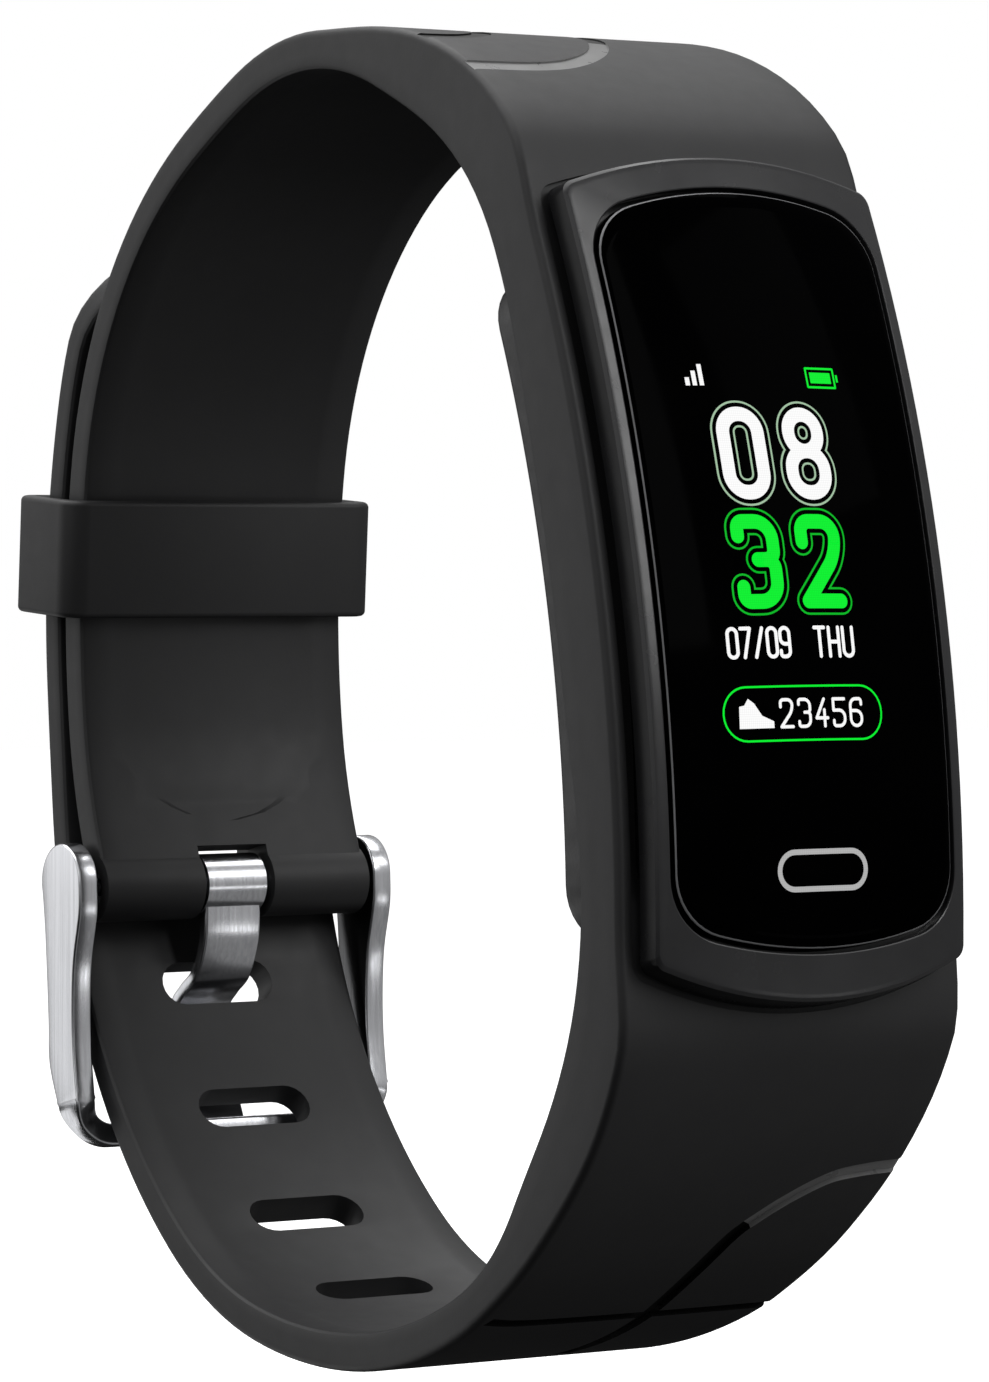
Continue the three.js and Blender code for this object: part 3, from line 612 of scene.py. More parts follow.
def box(name, half_x, half_y, half_z, middle):
    corners = [(-1, -1), (1, -1), (1, 1), (-1, 1)]
    rings = [[(middle[0] + half_x * a, middle[1] + half_y * b, middle[2] + half_z * c)
              for a, b in corners] for c in (-1, 1)]
    return loft(name, rings)


RECESS_MARGIN = 2.2
RECESS_DEEP = 0.15
RECESS_FROM = 26  # distance |s| where the panels above and below the capsule begin
RECESS_ROUND = 3
UPPER_RECESS_TO = 100.2
UPPER_RECESS_ROUND = 6
PAST_SEAM = 9  # the lower panel is cut this far past the seam in both nodes, so that it runs through
TAIL_RECESS_GAP = 4  # from the panel's end to the tail's tip
TAIL_RECESS_ROUND = 7


def recess(start, end, round_start, round_end):
    """The shallow panel pressed into the wrist side, with elliptical ends."""
    rings = []
    for s in spots(start, end, 0.5):
        narrow = 1.0
        for edge, reach in ((start, round_start), (end, round_end)):
            near = min(1, abs(s - edge) / reach)
            narrow = min(narrow, math.sqrt(max(0.0004, 1 - (1 - near) ** 2)))
        half = (half_width(s) - RECESS_MARGIN) * narrow
        slope = min(0.5, half * 0.3) / RECESS_DEEP
        floor = half - slope * RECESS_DEEP
        corners = [(-half - slope, -1), (half + slope, -1), (floor, RECESS_DEEP), (-floor, RECESS_DEEP)]
        low = wrist_relief(s)
        rings.append([on_strap(x, low + n, s) for x, n in corners])
    return loft("recess", rings)


def groove(path, wide, deep, hand, painted_highlight_until, rest):
    """A flat channel along (x, s) points of the outer face, to the right of its path with hand 1 and to
    the left with -1. Its faces take the painted highlight while the distance |s| is under the given
    limit, and after that the slot called rest, which holds painted shade or painted shadow."""
    above = 0.5  # how far the cutting solid stands out of the strap
    line = catmull(path, 10)
    rings = []
    for i, (x, s) in enumerate(line):
        before, after = line[max(0, i - 1)], line[min(len(line) - 1, i + 1)]
        at = np.array(on_strap(x, thickness(s), s))
        ahead = (np.array(on_strap(after[0], thickness(after[1]), after[1]))
                 - np.array(on_strap(before[0], thickness(before[1]), before[1])))
        ahead /= np.linalg.norm(ahead)
        down = np.array(on_strap(x, thickness(s - 0.1), s - 0.1))
        up = np.array(on_strap(x, thickness(s + 0.1), s + 0.1))
        normal = np.cross((1, 0, 0), up - down)
        normal /= np.linalg.norm(normal)
        side = np.cross(ahead, normal) * hand
        rings.append([at - normal * deep, at + side * wide - normal * deep,
                      at + side * wide + normal * above, at + normal * above])
    made = loft("groove", rings)
    dress_strap(made)
    start = abs(path[0][1])
    for face in made.data.polygons:
        along = abs(line[min(len(line) - 1, face.index // 4)][1])
        face.material_index = PAINTED_HIGHLIGHT_SLOT if start <= along < painted_highlight_until else rest
    return made


# Groove lines as (x, s). The upper pair sweep in from the near edge and run up the strap; the lower
# one sweeps in from the far edge, runs down the middle and crosses a straight one.
UPPER_GROOVE = [(-12, 27), (-9, 27.05), (-6, 27.2), (-3.6, 27.7), (-1.3, 28.9), (0.4, 30.6),
                (1.7, 33), (2.3, 36), (2.3, 41), (2.3, 48)]
UPPER_GROOVE_SMALL = [(-12, 31.2), (-9, 31.3), (-7, 31.8), (-5.4, 33), (-4.4, 35.2), (-4, 38.5),
                      (-4, 48)]
LOWER_GROOVE = [(12, -29), (10, -29.05), (8, -29.2), (6, -29.6), (4.2, -30.7), (2.7, -32.2),
                (1.6, -34), (1.15, -37), (1.1, -41), (1.1, -46), (1.1, -50)]
CROSS_GROOVE = [(-9.3, -41.2), (-7.6, -41.6), (-5, -41.8), (0, -41.9), (6, -41.9), (12, -41.9)]
PAINTED_HIGHLIGHT_SLOT, PAINTED_SHADE_SLOT, PAINTED_SHADOW_SLOT = 1, 2, 3  # material slots of the strap, after its plain silicone: painted highlight, painted shade and painted shadow for the grooves
GROOVES = [  # path, width, depth, side it lies on, distance |s| where its painted highlight stops, slot after it (painted shade or painted shadow)
    (UPPER_GROOVE, 1.1, 0.1, 1, 31.5, PAINTED_SHADE_SLOT), (UPPER_GROOVE_SMALL, 1.1, 0.1, 1, 0, PAINTED_SHADE_SLOT),
    (LOWER_GROOVE, 1.05, 0.3, -1, 33, PAINTED_SHADOW_SLOT), (CROSS_GROOVE, 0.85, 0.3, -1, 0, PAINTED_SHADOW_SLOT),
]


def strap_between(start, end):
    """The strap from s = start down to s = end."""
    low = max(end, -(TAIL_END - TIP_ROUND))
    rings = [strap_ring(s, half_width(s)) for s in spots(start, low, 1.1)]
    if end < low:
        for turn in range(8, 88, 8):
            s = low - TIP_ROUND * math.sin(turn * DEG)
            rings.append(strap_ring(s, HALF_AT_BACK * math.cos(turn * DEG)))
    return loft("strap", rings)


def bowed_outline(half, corner, bow_top, bow_foot, radius, sides=24, bows=18, corners=9):
    """Straight sides, bowed ends and rounded corners, as (x, v) points."""
    def end(bow):
        end_radius = (half * half + bow * bow) / (2 * bow)
        middle = corner + bow - end_radius
        fillet = middle + math.sqrt((end_radius - radius) ** 2 - (half - radius) ** 2)
        return end_radius, middle, fillet, math.atan2(fillet - middle, half - radius) / DEG

    side = half - radius
    r1, m1, f1, t1 = end(bow_top)
    r2, m2, f2, t2 = end(bow_foot)
    ends = [
        arc_points(side, f1, radius, 0, t1, corners),
        arc_points(0, m1, r1, t1, 180 - t1, bows)[1:-1],
        arc_points(-side, f1, radius, 180 - t1, 180, corners),
        line_points((-half, f1), (-half, -f2), sides),
        arc_points(-side, -f2, radius, 180, 180 + t2, corners),
        arc_points(0, -m2, r2, 180 + t2, 360 - t2, bows)[1:-1],
        arc_points(side, -f2, radius, 360 - t2, 360, corners),
        line_points((half, -f2), (half, f1), sides),
    ]
    return [p for part in ends for p in part]


def bezel_outline(grow, radius=0.8):
    return bowed_outline(BEZEL_HALF + grow, BEZEL_CORNER + grow, BEZEL_BOW_TOP, BEZEL_BOW_FOOT, radius)


def lens_outline(grow, radius=3.3):
    return bowed_outline(LENS_HALF + grow, LENS_CORNER + grow, LENS_BOW, LENS_BOW, radius)


def shell_outline(shrink, radius):
    return bowed_outline(SHELL_HALF - shrink, SHELL_LONG - shrink, FLAT_BOW, FLAT_BOW, radius)


def crown_height(x):
    return BEZEL_H + CROWN * (1 - (x / BEZEL_HALF) ** 2)


def on_capsule(x, v, h):
    """A point at (x, v) seen from the front, at height h out along the capsule's bend."""
    radius = BEND_CENTRE + h
    return (x, BEND_CENTRE - math.sqrt(radius * radius - v * v), LOOP_START[1] + v)


def level(outline, h):
    return [on_capsule(x, v, h) for x, v in outline]


def crowned(outline, drop):
    return [on_capsule(x, v, crown_height(x) - drop) for x, v in outline]


def dress_strap(made):
    # The strap's plain silicone, then the groove copies with painted highlight, painted shade and painted
    # shadow.
    for strap_material in (SILICONE, GROOVE_PAINTED_HIGHLIGHT, GROOVE_PAINTED_SHADE, GROOVE_PAINTED_SHADOW):
        made.data.materials.append(strap_material)


def strap_body():
    made = strap_between(UPPER_END + ROLL_OVERLAP, -SEAM)
    dress_strap(made)
    combine(made, loft("seat", [level(bezel_outline(SEAT_GAP, 1), h) for h in (SEAT_H, CUT_TOP_H)]))
    socket = shell_outline(-SEAT_GAP, SOCKET_ROUND)
    combine(made, loft("socket", [level(socket, h) for h in (SOCKET_FOOT_H, CUT_TOP_H)]))
    combine(made, cross_cylinder("roll", ROLL_R, HALF_AT_BACK), "UNION")
    combine(made, cross_cylinder("bore", BORE_R, HALF_AT_BACK + 2))
    notch = (EYE_HALF + NOTCH_GAP, NOTCH_HALF_DEEP, NOTCH_HALF_TALL)
    combine(made, box("notch", *notch, (0, PIN[0], PIN[1] - 1)))
    combine(made, recess(RECESS_FROM, UPPER_RECESS_TO, RECESS_ROUND, UPPER_RECESS_ROUND))
    combine(made, recess(-SEAM - PAST_SEAM, -RECESS_FROM, 1, RECESS_ROUND))
    for line in GROOVES:
        combine(made, groove(*line))
    return made


def strap_tail():
    made = strap_between(-SEAM, -TAIL_END)
    combine(made, recess(TAIL_RECESS_GAP - TAIL_END, PAST_SEAM - SEAM, TAIL_RECESS_ROUND, 1))
    end = SLOT_TALL / 2 - 0.01
    reach = SLOT_WIDE / 2 - end
    outline = [*arc_points(reach, 0, end, -90, 90, 10), *arc_points(-reach, 0, end, 90, 270, 10)]
    for i in range(SLOT_COUNT):
        foot, along, out = on_loop(-(SLOT_FIRST + i * SLOT_PITCH))
        rings = [[(x, *(foot + along * a + out * n)) for x, a in outline] for n in (-2, 4)]
        combine(made, loft("slot", rings))
    return made


def keeper_section(half, deep, radius):
    """(x, n) points round the keeper."""
    points = []
    for sx, sn, start in ((1, 1, 0), (-1, 1, 90), (-1, -1, 180), (1, -1, 270)):
        cx = sx * (half - radius)
        cn = KEEPER_MIDDLE + sn * (deep / 2 - radius)
        points += arc_points(cx, cn, radius, start, start + 90, 8)
    return points


def keeper():
    """A moulded ring with softly rounded rims."""
    foot, along, out = on_loop(KEEPER_AT)
    soft = 0.32
    top = KEEPER_TALL / 2

    def ring(inset, a):
        outline = keeper_section(KEEPER_HALF - inset, KEEPER_DEEP - 2 * inset, max(0.5, 1.5 - inset))
        return [(x, *(foot + along * a + out * n)) for x, n in outline]

    rims = [(soft * (1 - math.sin(t * DEG)), top - soft * (1 - math.cos(t * DEG)))
            for t in (0, 25, 50, 75, 90)]
    outside = [ring(inset, a) for inset, a in rims]
    outside += [ring(inset, -a) for inset, a in reversed(rims)]
    inset = KEEPER_WALL
    chamfer = 0.15
    inside = [
        ring(inset - chamfer, -top), ring(inset, chamfer - top), ring(inset, 0),
        ring(inset, top - chamfer), ring(inset - chamfer, top),
    ]
    return loft("keeper_loop", outside + inside, looped=True)


# ---------- capsule ----------

def bezel():
    """The front shell: skirt, flange, crowned face and the pocket for the lens."""
    skirt = shell_outline(0, SHELL_ROUND)
    cavity = shell_outline(WALL, INNER_ROUND)
    window = bowed_outline(WINDOW_HALF, WINDOW_LONG, FLAT_BOW, FLAT_BOW, 2)
    lens_seat = LENS_H - 0.3
    ledge = 19.6  # underside of the frame that carries the lens
    rings = [
        level(skirt, SHELL_BASE_H), level(skirt, FLANGE_H),
        level(bezel_outline(-0.15), FLANGE_H), level(bezel_outline(0), FLANGE_H + 0.15),
        crowned(bezel_outline(0), 0.16), crowned(bezel_outline(-0.14, 0.75), 0.01),
        crowned(bezel_outline(-0.18, 0.7), 0), crowned(bezel_outline(-0.4, 0.65), 0),
        crowned(lens_outline(0.34, 3.6), 0), crowned(lens_outline(0.28, 3.5), 0.03),
        crowned(lens_outline(0.25, 3.5), 0.12),
        level(lens_outline(0.25, 3.5), lens_seat), level(window, lens_seat),
        level(window, ledge), level(cavity, ledge), level(cavity, SHELL_BASE_H),
    ]
    made = loft("bezel", rings, looped=True)
    made.data.materials.append(BEZEL)
    made.data.materials.append(BEZEL_SIDE_PAINTED_SHADE)
    # The band of faces up the flange's side wall takes the darker copy, a painted shade.
    count = len(skirt)
    for i in range(3 * count, 4 * count):
        made.data.polygons[i].material_index = 1
    return made


def lens():
    """Black glass with a fine chamfer round its crowned face; the chamfer is light grey, a painted
    highlight.
    """
    side = lens_outline(0)
    face = lens_outline(-0.09)
    count = len(side)
    rings = [level(side, LENS_H), crowned(side, 0.3), crowned(lens_outline(-0.02), 0.06), crowned(face, 0)]
    for share in (0.96, 0.9, 0.8, 0.66, 0.5, 0.34, 0.18, 0.04):
        rings.append(crowned([(x * share, v * share) for x, v in face], 0))
    made = loft("display_glass", rings)
    made.data.materials.append(GLASS)
    made.data.materials.append(GLASS_EDGE_PAINTED_HIGHLIGHT)
    chamfer = range(2 * count, 3 * count)
    for i in chamfer:
        made.data.polygons[i].material_index = 1
    return made


def rear_cover():
    cover = shell_outline(0, SHELL_ROUND)
    rings = [level(cover, COVER_TOP_H)]
    for turn in (0, 25, 50, 75, 90):
        inset = COVER_ROUND * (1 - math.cos(turn * DEG))
        h = COVER_H + COVER_ROUND * (1 - math.sin(turn * DEG))
        rings.append(level(shell_outline(inset, SHELL_ROUND - inset), h))
    made = loft("back_cover", rings)
    inside = shell_outline(WALL, INNER_ROUND)
    combine(made, loft("inside", [level(inside, COVER_H + COVER_FLOOR), level(inside, 20)]))
    for x, v, radius in COVER_HOLES:
        outline = arc_points(x, v, radius, 0, 352.5, 47)
        rings = [[(a, -h, LOOP_START[1] + b) for a, b in outline] for h in (8, 16)]
        combine(made, loft("hole", rings))
    return made


# ---------- buckle ----------

def inset_outline(points, amount):
    """Moves each point of a closed outline inwards."""
    count = len(points)
    area = sum(points[i][0] * points[(i + 1) % count][1] - points[(i + 1) % count][0] * points[i][1]
               for i in range(count))
    turn = 1 if area > 0 else -1
    made = []
    for i in range(count):
        a, b = np.array(points[i - 1]), np.array(points[(i + 1) % count])
        along = (b - a) / np.linalg.norm(b - a)
        made.append(tuple(np.array(points[i]) + amount * turn * np.array([-along[1], along[0]])))
    return made


def bevelled_plate(name, outline, x0, x1, bevel):
    """An outline in (y, z) made thick across the wrist, with rounded edges."""
    rings = []
    for turn in (0, 30, 60, 90):
        inset = bevel * (1 - math.sin(turn * DEG))
        rings.append((x0 + bevel * (1 - math.cos(turn * DEG)), inset))
    rings += [(x0 + x1 - x, inset) for x, inset in reversed(rings)]
    return loft(name, [[(x, y, z) for y, z in inset_outline(outline, inset)] for x, inset in rings])


def cheek_outline():
    y, z, radius = CHEEK_HEAD
    head = arc_points(y, z, radius, -5, 190, 30)
    inner = [(38.8, -5.8), (40.05, -8.4), (40.8, -11), (41.25, -13.6), (LEG_FRONT, LEG_END_Z)]
    outer = [(LEG_BACK, LEG_END_Z), (44.4, -13.9), (44, -11.5), (43.55, -8.5), (43.2, -5.8)]
    return [*head, *catmull([head[-1], *inner], 6)[1:], *catmull([*outer, head[0]], 6)[:-1]]


def crossbar():
    """The crossbar with the bend at each end, swept from one leg to the other."""
    soft = 0.2
    outside = FRAME_BEND + CHEEK_THICK

    def ring(turn, side):
        angle = max(0, turn) * DEG
        rise = 0.3 if turn < 0 else 0  # the first ring stands inside the leg
        share = smooth(0, 45, turn)
        front, back = lerp(LEG_FRONT, BAR_FRONT, share), lerp(LEG_BACK, BAR_BACK, share)
        section = [
            *arc_points(outside - soft, back - soft, soft, 0, 90, 3),
            *arc_points(FRAME_BEND + soft, back - soft, soft, 90, 180, 3),
            *arc_points(FRAME_BEND + soft, front + soft, soft, 180, 270, 3),
            *arc_points(outside - soft, front + soft, soft, 270, 360, 3),
        ]
        bend_x = CHEEK_IN - FRAME_BEND
        return [(side * (bend_x + r * math.cos(angle)), y, LEG_END_Z + rise - r * math.sin(angle))
                for r, y in section]

    turns = [-1, *range(0, 91, 6)]
    rings = [ring(turn, -1) for turn in turns]
    rings += [ring(turn, 1) for turn in reversed(turns)]
    return loft("crossbar", rings)


def buckle():
    outline = cheek_outline()
    outside = CHEEK_IN + CHEEK_THICK
    bevel = 0.16
    made = bevelled_plate("buckle", outline, CHEEK_IN, outside, bevel)
    made.data.materials.append(STEEL_ALONG)
    made.data.materials.append(STEEL_INNER_PAINTED_SHADE)
    combine(made, bevelled_plate("cheek", outline, -outside, -CHEEK_IN, bevel), "UNION")
    combine(made, crossbar(), "UNION")
    combine(made, cross_cylinder("pin_hole", PIN_HOLE_R, outside - PIN_HOLE_WALL, 24))
    # Faces turned inwards between the cheeks take the dark steel copy, a painted shade.
    for face in made.data.polygons:
        inward = face.normal.x * face.center.x < 0 and abs(face.normal.x) > 0.9
        face.material_index = 1 if inward else 0
    return made


def prong():
    """An eye rolled round the spring bar and a flat tongue with softened edges."""
    made = cross_cylinder("buckle_prong", EYE_R, EYE_HALF, 64)
    middle = catmull([(39.6, -5.3), (40.2, -7.4), (41.6, -9.25), (43.2, -10), (44.5, -10.8),
                      (45.2, -12.7), (45, -15.2), (44.35, -17.6), (44.1, -19.3)], 8)
    soft = 0.2
    narrower = 0.5  # the tongue narrows by this much on each side over its last few rings
    rings = []
    for i, at in enumerate(middle):
        ahead = middle[min(len(middle) - 1, i + 1)] - middle[max(0, i - 1)]
        ahead /= np.linalg.norm(ahead)
        side = np.array([-ahead[1], ahead[0]])
        left = len(middle) - 1 - i
        narrow = PRONG_HALF - narrower * (1 - smooth(0, 5, left))
        section = []
        for sx, sn, start in ((1, 1, 0), (-1, 1, 90), (-1, -1, 180), (1, -1, 270)):
            cx, cn = sx * (narrow - soft), sn * (PRONG_THICK / 2 - soft)
            section += arc_points(cx, cn, soft, start, start + 90, 4)
        rings.append([(x, *(at + side * n)) for x, n in section])
    combine(made, loft("tongue", rings), "UNION")
    combine(made, cross_cylinder("eye", TUBE_R + 0.25, EYE_HALF + 1, 48))
    return made


# ---------- display ----------

SCREEN_X = -0.7  # the lit picture sits a little left of the glass's middle
GLYPH = {
    "0": [[(0, 0), (1, 0), (1, 1), (0, 1), "closed"]],
    "2": [[(0, 0.74), (0, 1), (1, 1), (1, 0.6), (0, 0), "sharp", (1, 0)]],
    "3": [[(0.02, 0.82), (0.02, 1), (1, 1), (1, 0.52), (0.52, 0.52)],
          [(0.52, 0.52), (1, 0.52), (1, 0), (0.02, 0), (0.02, 0.18)]],
    "4": [[(0.72, 1), (0, 0.3), "sharp", (1, 0.3)], [(0.72, 0.6), (0.72, 0)]],
    "5": [[(1, 1), (0, 1), "sharp", (0, 0.58), "sharp", (1, 0.58), (1, 0), (0, 0), (0, 0.2)]],
    "6": [[(1, 0.8), (1, 1), (0, 1), (0, 0), (1, 0), (1, 0.56), (0, 0.56)]],
    "7": [[(0, 1), (1, 1), "sharp", (0.3, 0)]],
    "8": [[(0.06, 0.53), (0.94, 0.53), (0.94, 1), (0.06, 1), "closed"],
          [(0, 0), (1, 0), (1, 0.53), (0, 0.53), "closed"]],
    "9": [[(0, 0.2), (0, 0), (1, 0), (1, 1), (0, 1), (0, 0.44), (1, 0.44)]],
    "/": [[(0.1, 0), (0.9, 1)]],
    "T": [[(0, 1), (1, 1)], [(0.5, 1), (0.5, 0)]],
    "H": [[(0, 0), (0, 1)], [(1, 0), (1, 1)], [(0, 0.5), (1, 0.5)]],
    "U": [[(0, 1), (0, 0), (1, 0), (1, 1)]],
}


def rounded_line(points, radius, closed, sharp):
    """A polyline whose corners, apart from the sharp ones, are rounded."""
    count = len(points)
    made = []
    for i, p in enumerate(points):
        p = np.array(p, float)
        if i in sharp or (not closed and i in (0, count - 1)):
            made.append(p)
            continue
        a = np.array(points[i - 1], float)
        b = np.array(points[(i + 1) % count], float)
        reach = min(radius, np.linalg.norm(a - p) / 2, np.linalg.norm(b - p) / 2)
        start = p + (a - p) / np.linalg.norm(a - p) * reach
        end = p + (b - p) / np.linalg.norm(b - p) * reach
        pull = 0.55
        for k in range(9):
            t = k / 8
            c1, c2 = lerp(start, p, pull), lerp(end, p, pull)
            made.append((1 - t) ** 3 * start + 3 * t * (1 - t) ** 2 * c1
                        + 3 * t * t * (1 - t) * c2 + t ** 3 * end)
    if closed:
        made.append(made[0])
    return made


def stroke_lines(glyph, left, foot, wide, tall, radius):
    """A glyph's strokes as rounded polylines in millimetres on the screen."""
    lines = []
    for stroke in GLYPH[glyph]:
        points, sharp, closed = [], set(), False
        for item in stroke:
            if item == "closed":
                closed = True
            elif item == "sharp":
                sharp.add(len(points) - 1)
            else:
                points.append((left + wide * item[0], foot + tall * item[1]))
        lines.append(rounded_line(points, radius, closed, sharp))
    return lines


class Artwork:
    """Flat shapes on the screen, gathered into one mesh that follows the crowned glass."""

    def __init__(self, name, lift):
        self.name = name
        self.lift = lift
        self.points = []
        self.faces = []

    def polygon(self, outline):
        first = len(self.points)
        self.points += [tuple(p) for p in outline]
        self.faces.append(tuple(range(first, first + len(outline))))

    def ribbon(self, line, wide):
        """A stroke of the given width with round ends."""
        line = [np.array(p, float) for p in line]
        for a, b in zip(line, line[1:]):
            length = np.linalg.norm(b - a)
            if length < 1e-6:
                continue
            side = np.array([a[1] - b[1], b[0] - a[0]]) / length * wide / 2
            steps = max(1, round(length / 1.2))
            for i in range(steps):
                p, q = lerp(a, b, i / steps), lerp(a, b, (i + 1) / steps)
                self.polygon([p - side, q - side, q + side, p + side])
        for p in line:
            self.polygon(arc_points(p[0], p[1], wide / 2, 0, 345, 23))

    def build(self, made_of):
        points = [on_capsule(x, v, crown_height(x) + self.lift) for x, v in self.points]
        mesh = bpy.data.meshes.new(self.name)
        mesh.from_pydata(points, [], self.faces)
        made = bpy.data.objects.new(self.name, mesh)
        bpy.context.scene.collection.objects.link(made)
        return finish_piece(made, made_of, "capsule")


def loop_line(cx, cv, half_x, half_v, radius):
    corners = [(cx + half_x, cv - half_v), (cx + half_x, cv + half_v),
               (cx - half_x, cv + half_v), (cx - half_x, cv - half_v)]
    return rounded_line(corners, radius, True, set())


def write(artwork, text, left, foot, wide, tall, gap, stroke):
    for i, glyph in enumerate(text):
        start = left + i * (wide + gap)
        for line in stroke_lines(glyph, start, foot, wide, tall, wide * 0.5):
            artwork.ribbon(line, stroke)


def big_digits(text, foot, starts, lit, name):
    """A pair of tall digits: lit fill, dark inline and a thin lit outline."""
    tall, wide, stroke = 4.24, 2.14, 0.78
    halo = Artwork(name + "_outline", 0.012)
    dark = Artwork(name + "_inline", 0.02)
    fill = Artwork(name, 0.028)
    for glyph, left in zip(text, starts):
        for line in stroke_lines(glyph, left, foot, wide, tall, 1.02):
            halo.ribbon(line, stroke + 0.68)
            dark.ribbon(line, stroke + 0.46)
            fill.ribbon(line, stroke)
    return [(halo, lit[1]), (dark, GLASS), (fill, lit[0])]


def display_artwork():
    white = lit_pixels("pixels_white", (1, 1, 1), 1.0)
    pale = lit_pixels("pixels_pale", (0.42, 0.62, 0.42), 0.9)
    green = lit_pixels("pixels_green", (0.0, 0.9, 0.03), 1.0)
    deep = lit_pixels("pixels_deep_green", (0.0, 0.55, 0.02), 0.9)
    layers = big_digits("08", 3.5, (SCREEN_X - 3.05, SCREEN_X + 0.93), (white, pale), "hour_digits")
    layers += big_digits("32", -2.3, (SCREEN_X - 3.14, SCREEN_X + 0.86), (green, deep), "minute_digits")

    small = Artwork("small_text", 0.02)
    write(small, "07/09", SCREEN_X - 4.4, -5.2, 0.56, 1.5, 0.24, 0.2)
    write(small, "THU", SCREEN_X + 1.0, -5.2, 0.62, 1.5, 0.3, 0.2)
    write(small, "23456", SCREEN_X - 1.55, -8.85, 0.72, 1.4, 0.4, 0.17)
    for i in range(3):  # signal bars
        left = SCREEN_X - 4.75 + 0.42 * i
        right, top = left + 0.26, 9.75 + 0.36 * i
        small.polygon([(left, 9.3), (right, 9.3), (right, top), (left, top)])
    shoe = [(-4.1, -8.9), (-2.0, -8.9), (-2.0, -8.55), (-2.7, -8.25), (-3.15, -7.6), (-3.5, -7.35),
            (-3.75, -7.7), (-4.05, -7.75)]
    small.polygon([(SCREEN_X + x, v) for x, v in shoe])
    layers.append((small, white))

    lines = Artwork("green_marks", 0.02)
    lines.ribbon(loop_line(SCREEN_X, -8.15, 5.0, 1.4, 1.38), 0.11)
    lines.ribbon(loop_line(SCREEN_X + 3.85, 9.8, 0.92, 0.52, 0.02), 0.12)
    left, right = SCREEN_X + 3.15, SCREEN_X + 4.55
    lines.polygon([(left, 9.5), (right, 9.5), (right, 10.1), (left, 10.1)])
    nub = SCREEN_X + 4.9
    lines.polygon([(nub, 9.6), (nub + 0.14, 9.6), (nub + 0.14, 10), (nub, 10)])
    layers.append((lines, green))

    key = Artwork("touch_key", 0.014)
    key.ribbon(loop_line(0, -16.25, 2.75, 0.95, 0.94), 0.28)
    # The key's ring is a real print; its glow by emission is painted light.
    print_with_painted_glow = lit_pixels("key_print_with_painted_glow", (0.5, 0.5, 0.5), 0.9)
    layers.append((key, print_with_painted_glow))
    for artwork, made_of in layers:
        artwork.build(made_of)


# ---------- everything in place ----------

def dress(node, made_of):
    """Gives a CAD node its finished material."""
    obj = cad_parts[node]
    if not obj.material_slots:
        obj.data.materials.append(made_of)
    for place in obj.material_slots:
        place.material = made_of


def dress_inner_parts():
    foil = plain_part("foil", (0.5, 0.52, 0.54), 0.35, 1.0)
    chip = plain_part("chip_black", (0.02, 0.02, 0.022), 0.45)
    foam = plain_part("foam_grey", (0.05, 0.05, 0.055), 0.9, size=0.0006)
    inner = plain_part("inner_plastic", (0.06, 0.06, 0.065), 0.5)
    gold = plain_part("gold_contact", (0.85, 0.6, 0.25), 0.25, 1.0)
    window = plain_part("sensor_window_tint", (0.03, 0.006, 0.008), 0.08)
    led = plain_part("led_phosphor", (0.75, 0.85, 0.55), 0.4)
    tungsten = plain_part("tungsten", (0.3, 0.3, 0.31), 0.4, 1.0)
    board = circuit_board()
    clothes = {
        foil: ["processor_shield", "battery", "motor_base", "touch_electrode"],
        chip: ["accelerometer", "flex_connector", "photodiode", "light_baffle", "display_panel"],
        foam: ["display_cushion", "battery_tape", "case_gasket"],
        inner: ["mid_frame"], board: ["main_board", "sensor_board"], window: ["sensor_window"],
        gold: ["charge_contact_left", "charge_contact_right"], led: ["led_left", "led_right"],
        tungsten: ["motor_rotor"],
        STEEL: ["motor_can", "spring_bar_tube", "spring_bar_spring", "spring_bar_tip_left",
                "spring_bar_tip_right"],
    }
    for made_of, nodes in clothes.items():
        for node in nodes:
            dress(node, made_of)


def build_strap():
    body = strap_body()
    body.name = "strap_upper"
    finish_piece(body, SILICONE, "band", ["strap_body"], 28, keeps_slots=True)
    tail = strap_tail()
    tail.name = "strap_lower"
    finish_piece(tail, SILICONE, None, ["strap_tail"], 28)
    foot, along, _ = on_loop(-SEAM)
    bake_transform(tail)
    finish_piece(keeper(), SILICONE, "keeper", ["keeper"])


def build_capsule():
    finish_piece(bezel(), BEZEL, "capsule", ["front_shell"], 25, keeps_slots=True)
    finish_piece(lens(), GLASS, "capsule", ["lens"], 60, keeps_slots=True)
    finish_piece(rear_cover(), COVER, "capsule", ["rear_cover"], 40)
    display_artwork()


def build_buckle():
    finish_piece(buckle(), STEEL_ALONG, "buckle_frame", ["buckle_frame"], 40, keeps_slots=True)
    finish_piece(prong(), STEEL_ALONG, "prong", ["prong"], 40)


def area_light(name, place, target, width, height, radiance):
    light = bpy.data.lights.new(name, "AREA")
    light.shape = "RECTANGLE"
    light.size, light.size_y = width, height
    light.energy = radiance * width * height * math.pi
    lamp = bpy.data.objects.new(name, light)
    lamp.location = place
    lamp.rotation_mode = "QUATERNION"
    lamp.rotation_quaternion = (Vector(target) - Vector(place)).to_track_quat("-Z", "Y")
    bpy.context.scene.collection.objects.link(lamp)


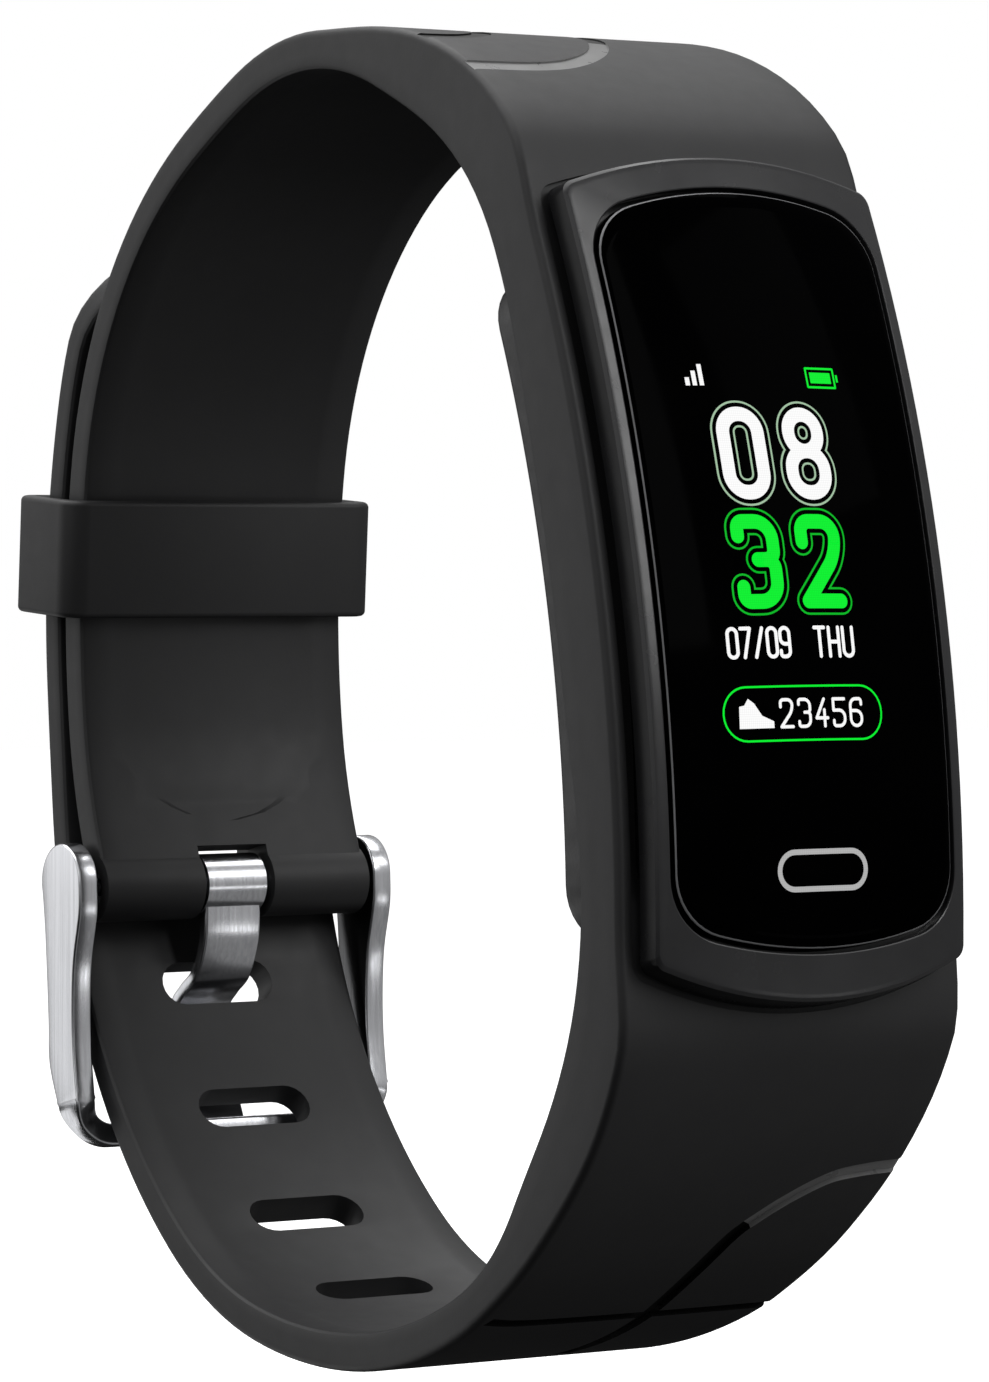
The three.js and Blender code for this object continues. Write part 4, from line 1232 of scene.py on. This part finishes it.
def studio():
    room_for_tail = 0.075  # the open tail hangs below the band
    floor_z = cad_low.z - room_for_tail
    reach = 3.0
    mesh = bpy.data.meshes.new("floor")
    corners = [(-reach, -reach), (reach, -reach), (reach, reach), (-reach, reach)]
    mesh.from_pydata([(x, y, floor_z) for x, y in corners], [], [(0, 1, 2, 3)])
    floor = bpy.data.objects.new("floor", mesh)
    bpy.context.scene.collection.objects.link(floor)
    paper = material("paper_white", (0.9, 0.9, 0.9), 0.9)
    shader = paper.node_tree.nodes["Principled BSDF"]
    shader.inputs["Emission Color"].default_value = (1, 1, 1, 1)
    shader.inputs["Emission Strength"].default_value = 0.85
    floor.data.materials.append(paper)
    floor.visible_diffuse = False
    floor.visible_glossy = False
    floor.visible_shadow = False

    centre = (0, 0, 0)
    area_light("overhead", (-0.05, 0.28, 0.5), (-0.05, 0.28, 0), 0.8, 0.8, 2.0)
    area_light("back_left", (-0.45, 0.55, 0.12), centre, 0.7, 0.5, 0.72)
    area_light("left_fill", (-0.6, -0.15, 0.2), centre, 0.4, 0.4, 0.6)
    area_light("rim_strip", (0.17, -0.6, 0.38), centre, 0.16, 0.42, 5)
    area_light("low_card", (-0.15, 0.62, -0.34), centre, 0.6, 0.35, 0.8)
    area_light("tongue_card", (0.38, -0.55, -0.17), centre, 0.25, 0.07, 1.3)
    area_light("front_fill", (0.42, -0.46, 0.38), centre, 0.22, 0.26, 1.6)

    world = bpy.data.worlds.new("studio")
    bpy.context.scene.world = world
    world.use_nodes = True
    nodes, links = world.node_tree.nodes, world.node_tree.links
    background = nodes["Background"]
    where = nodes.new("ShaderNodeTexCoord")
    split = nodes.new("ShaderNodeSeparateXYZ")
    links.new(where.outputs["Generated"], split.inputs["Vector"])
    sky = nodes.new("ShaderNodeMapRange")
    sky.interpolation_type = "SMOOTHSTEP"
    sky.inputs["From Min"].default_value = -0.3
    sky.inputs["From Max"].default_value = 0.6
    sky.inputs["To Min"].default_value = 0.01
    sky.inputs["To Max"].default_value = 0.35
    links.new(split.outputs["Z"], sky.inputs["Value"])
    facing = nodes.new("ShaderNodeVectorMath")
    facing.operation = "DOT_PRODUCT"
    facing.inputs[1].default_value = (0.6, -0.72, -0.35)
    links.new(where.outputs["Generated"], facing.inputs[0])
    front = nodes.new("ShaderNodeMapRange")
    front.interpolation_type = "SMOOTHSTEP"
    front.inputs["From Min"].default_value = 0.2
    front.inputs["From Max"].default_value = 0.85
    front.inputs["To Min"].default_value = 0
    front.inputs["To Max"].default_value = 0.18
    links.new(facing.outputs["Value"], front.inputs["Value"])
    both = nodes.new("ShaderNodeMath")
    both.operation = "ADD"
    links.new(sky.outputs["Result"], both.inputs[0])
    links.new(front.outputs["Result"], both.inputs[1])
    path = nodes.new("ShaderNodeLightPath")
    mix = nodes.new("ShaderNodeMix")
    mix.data_type = "RGBA"
    links.new(both.outputs["Value"], mix.inputs["A"])
    mix.inputs["B"].default_value = (1, 1, 1, 1)
    links.new(path.outputs["Is Camera Ray"], mix.inputs["Factor"])
    links.new(mix.outputs["Result"], background.inputs["Color"])
    bpy.context.scene.view_settings.view_transform = "Standard"


def camera():
    """Looks from the front left, a little above the middle."""
    data = bpy.data.cameras.new("camera")
    data.lens = 156
    data.sensor_width = 36
    eye = bpy.data.objects.new("camera", data)
    place = Vector((-183.7, -286.8, 8.35)) * MM
    target = Vector((-5.47, -13.38, 1.05)) * MM
    eye.location = place
    eye.rotation_mode = "QUATERNION"
    eye.rotation_quaternion = (target - place).to_track_quat("-Z", "Y")
    data.clip_start = 0.01
    bpy.context.scene.collection.objects.link(eye)
    bpy.context.scene.camera = eye


build_strap()
build_capsule()
build_buckle()
dress_inner_parts()
studio()
camera()
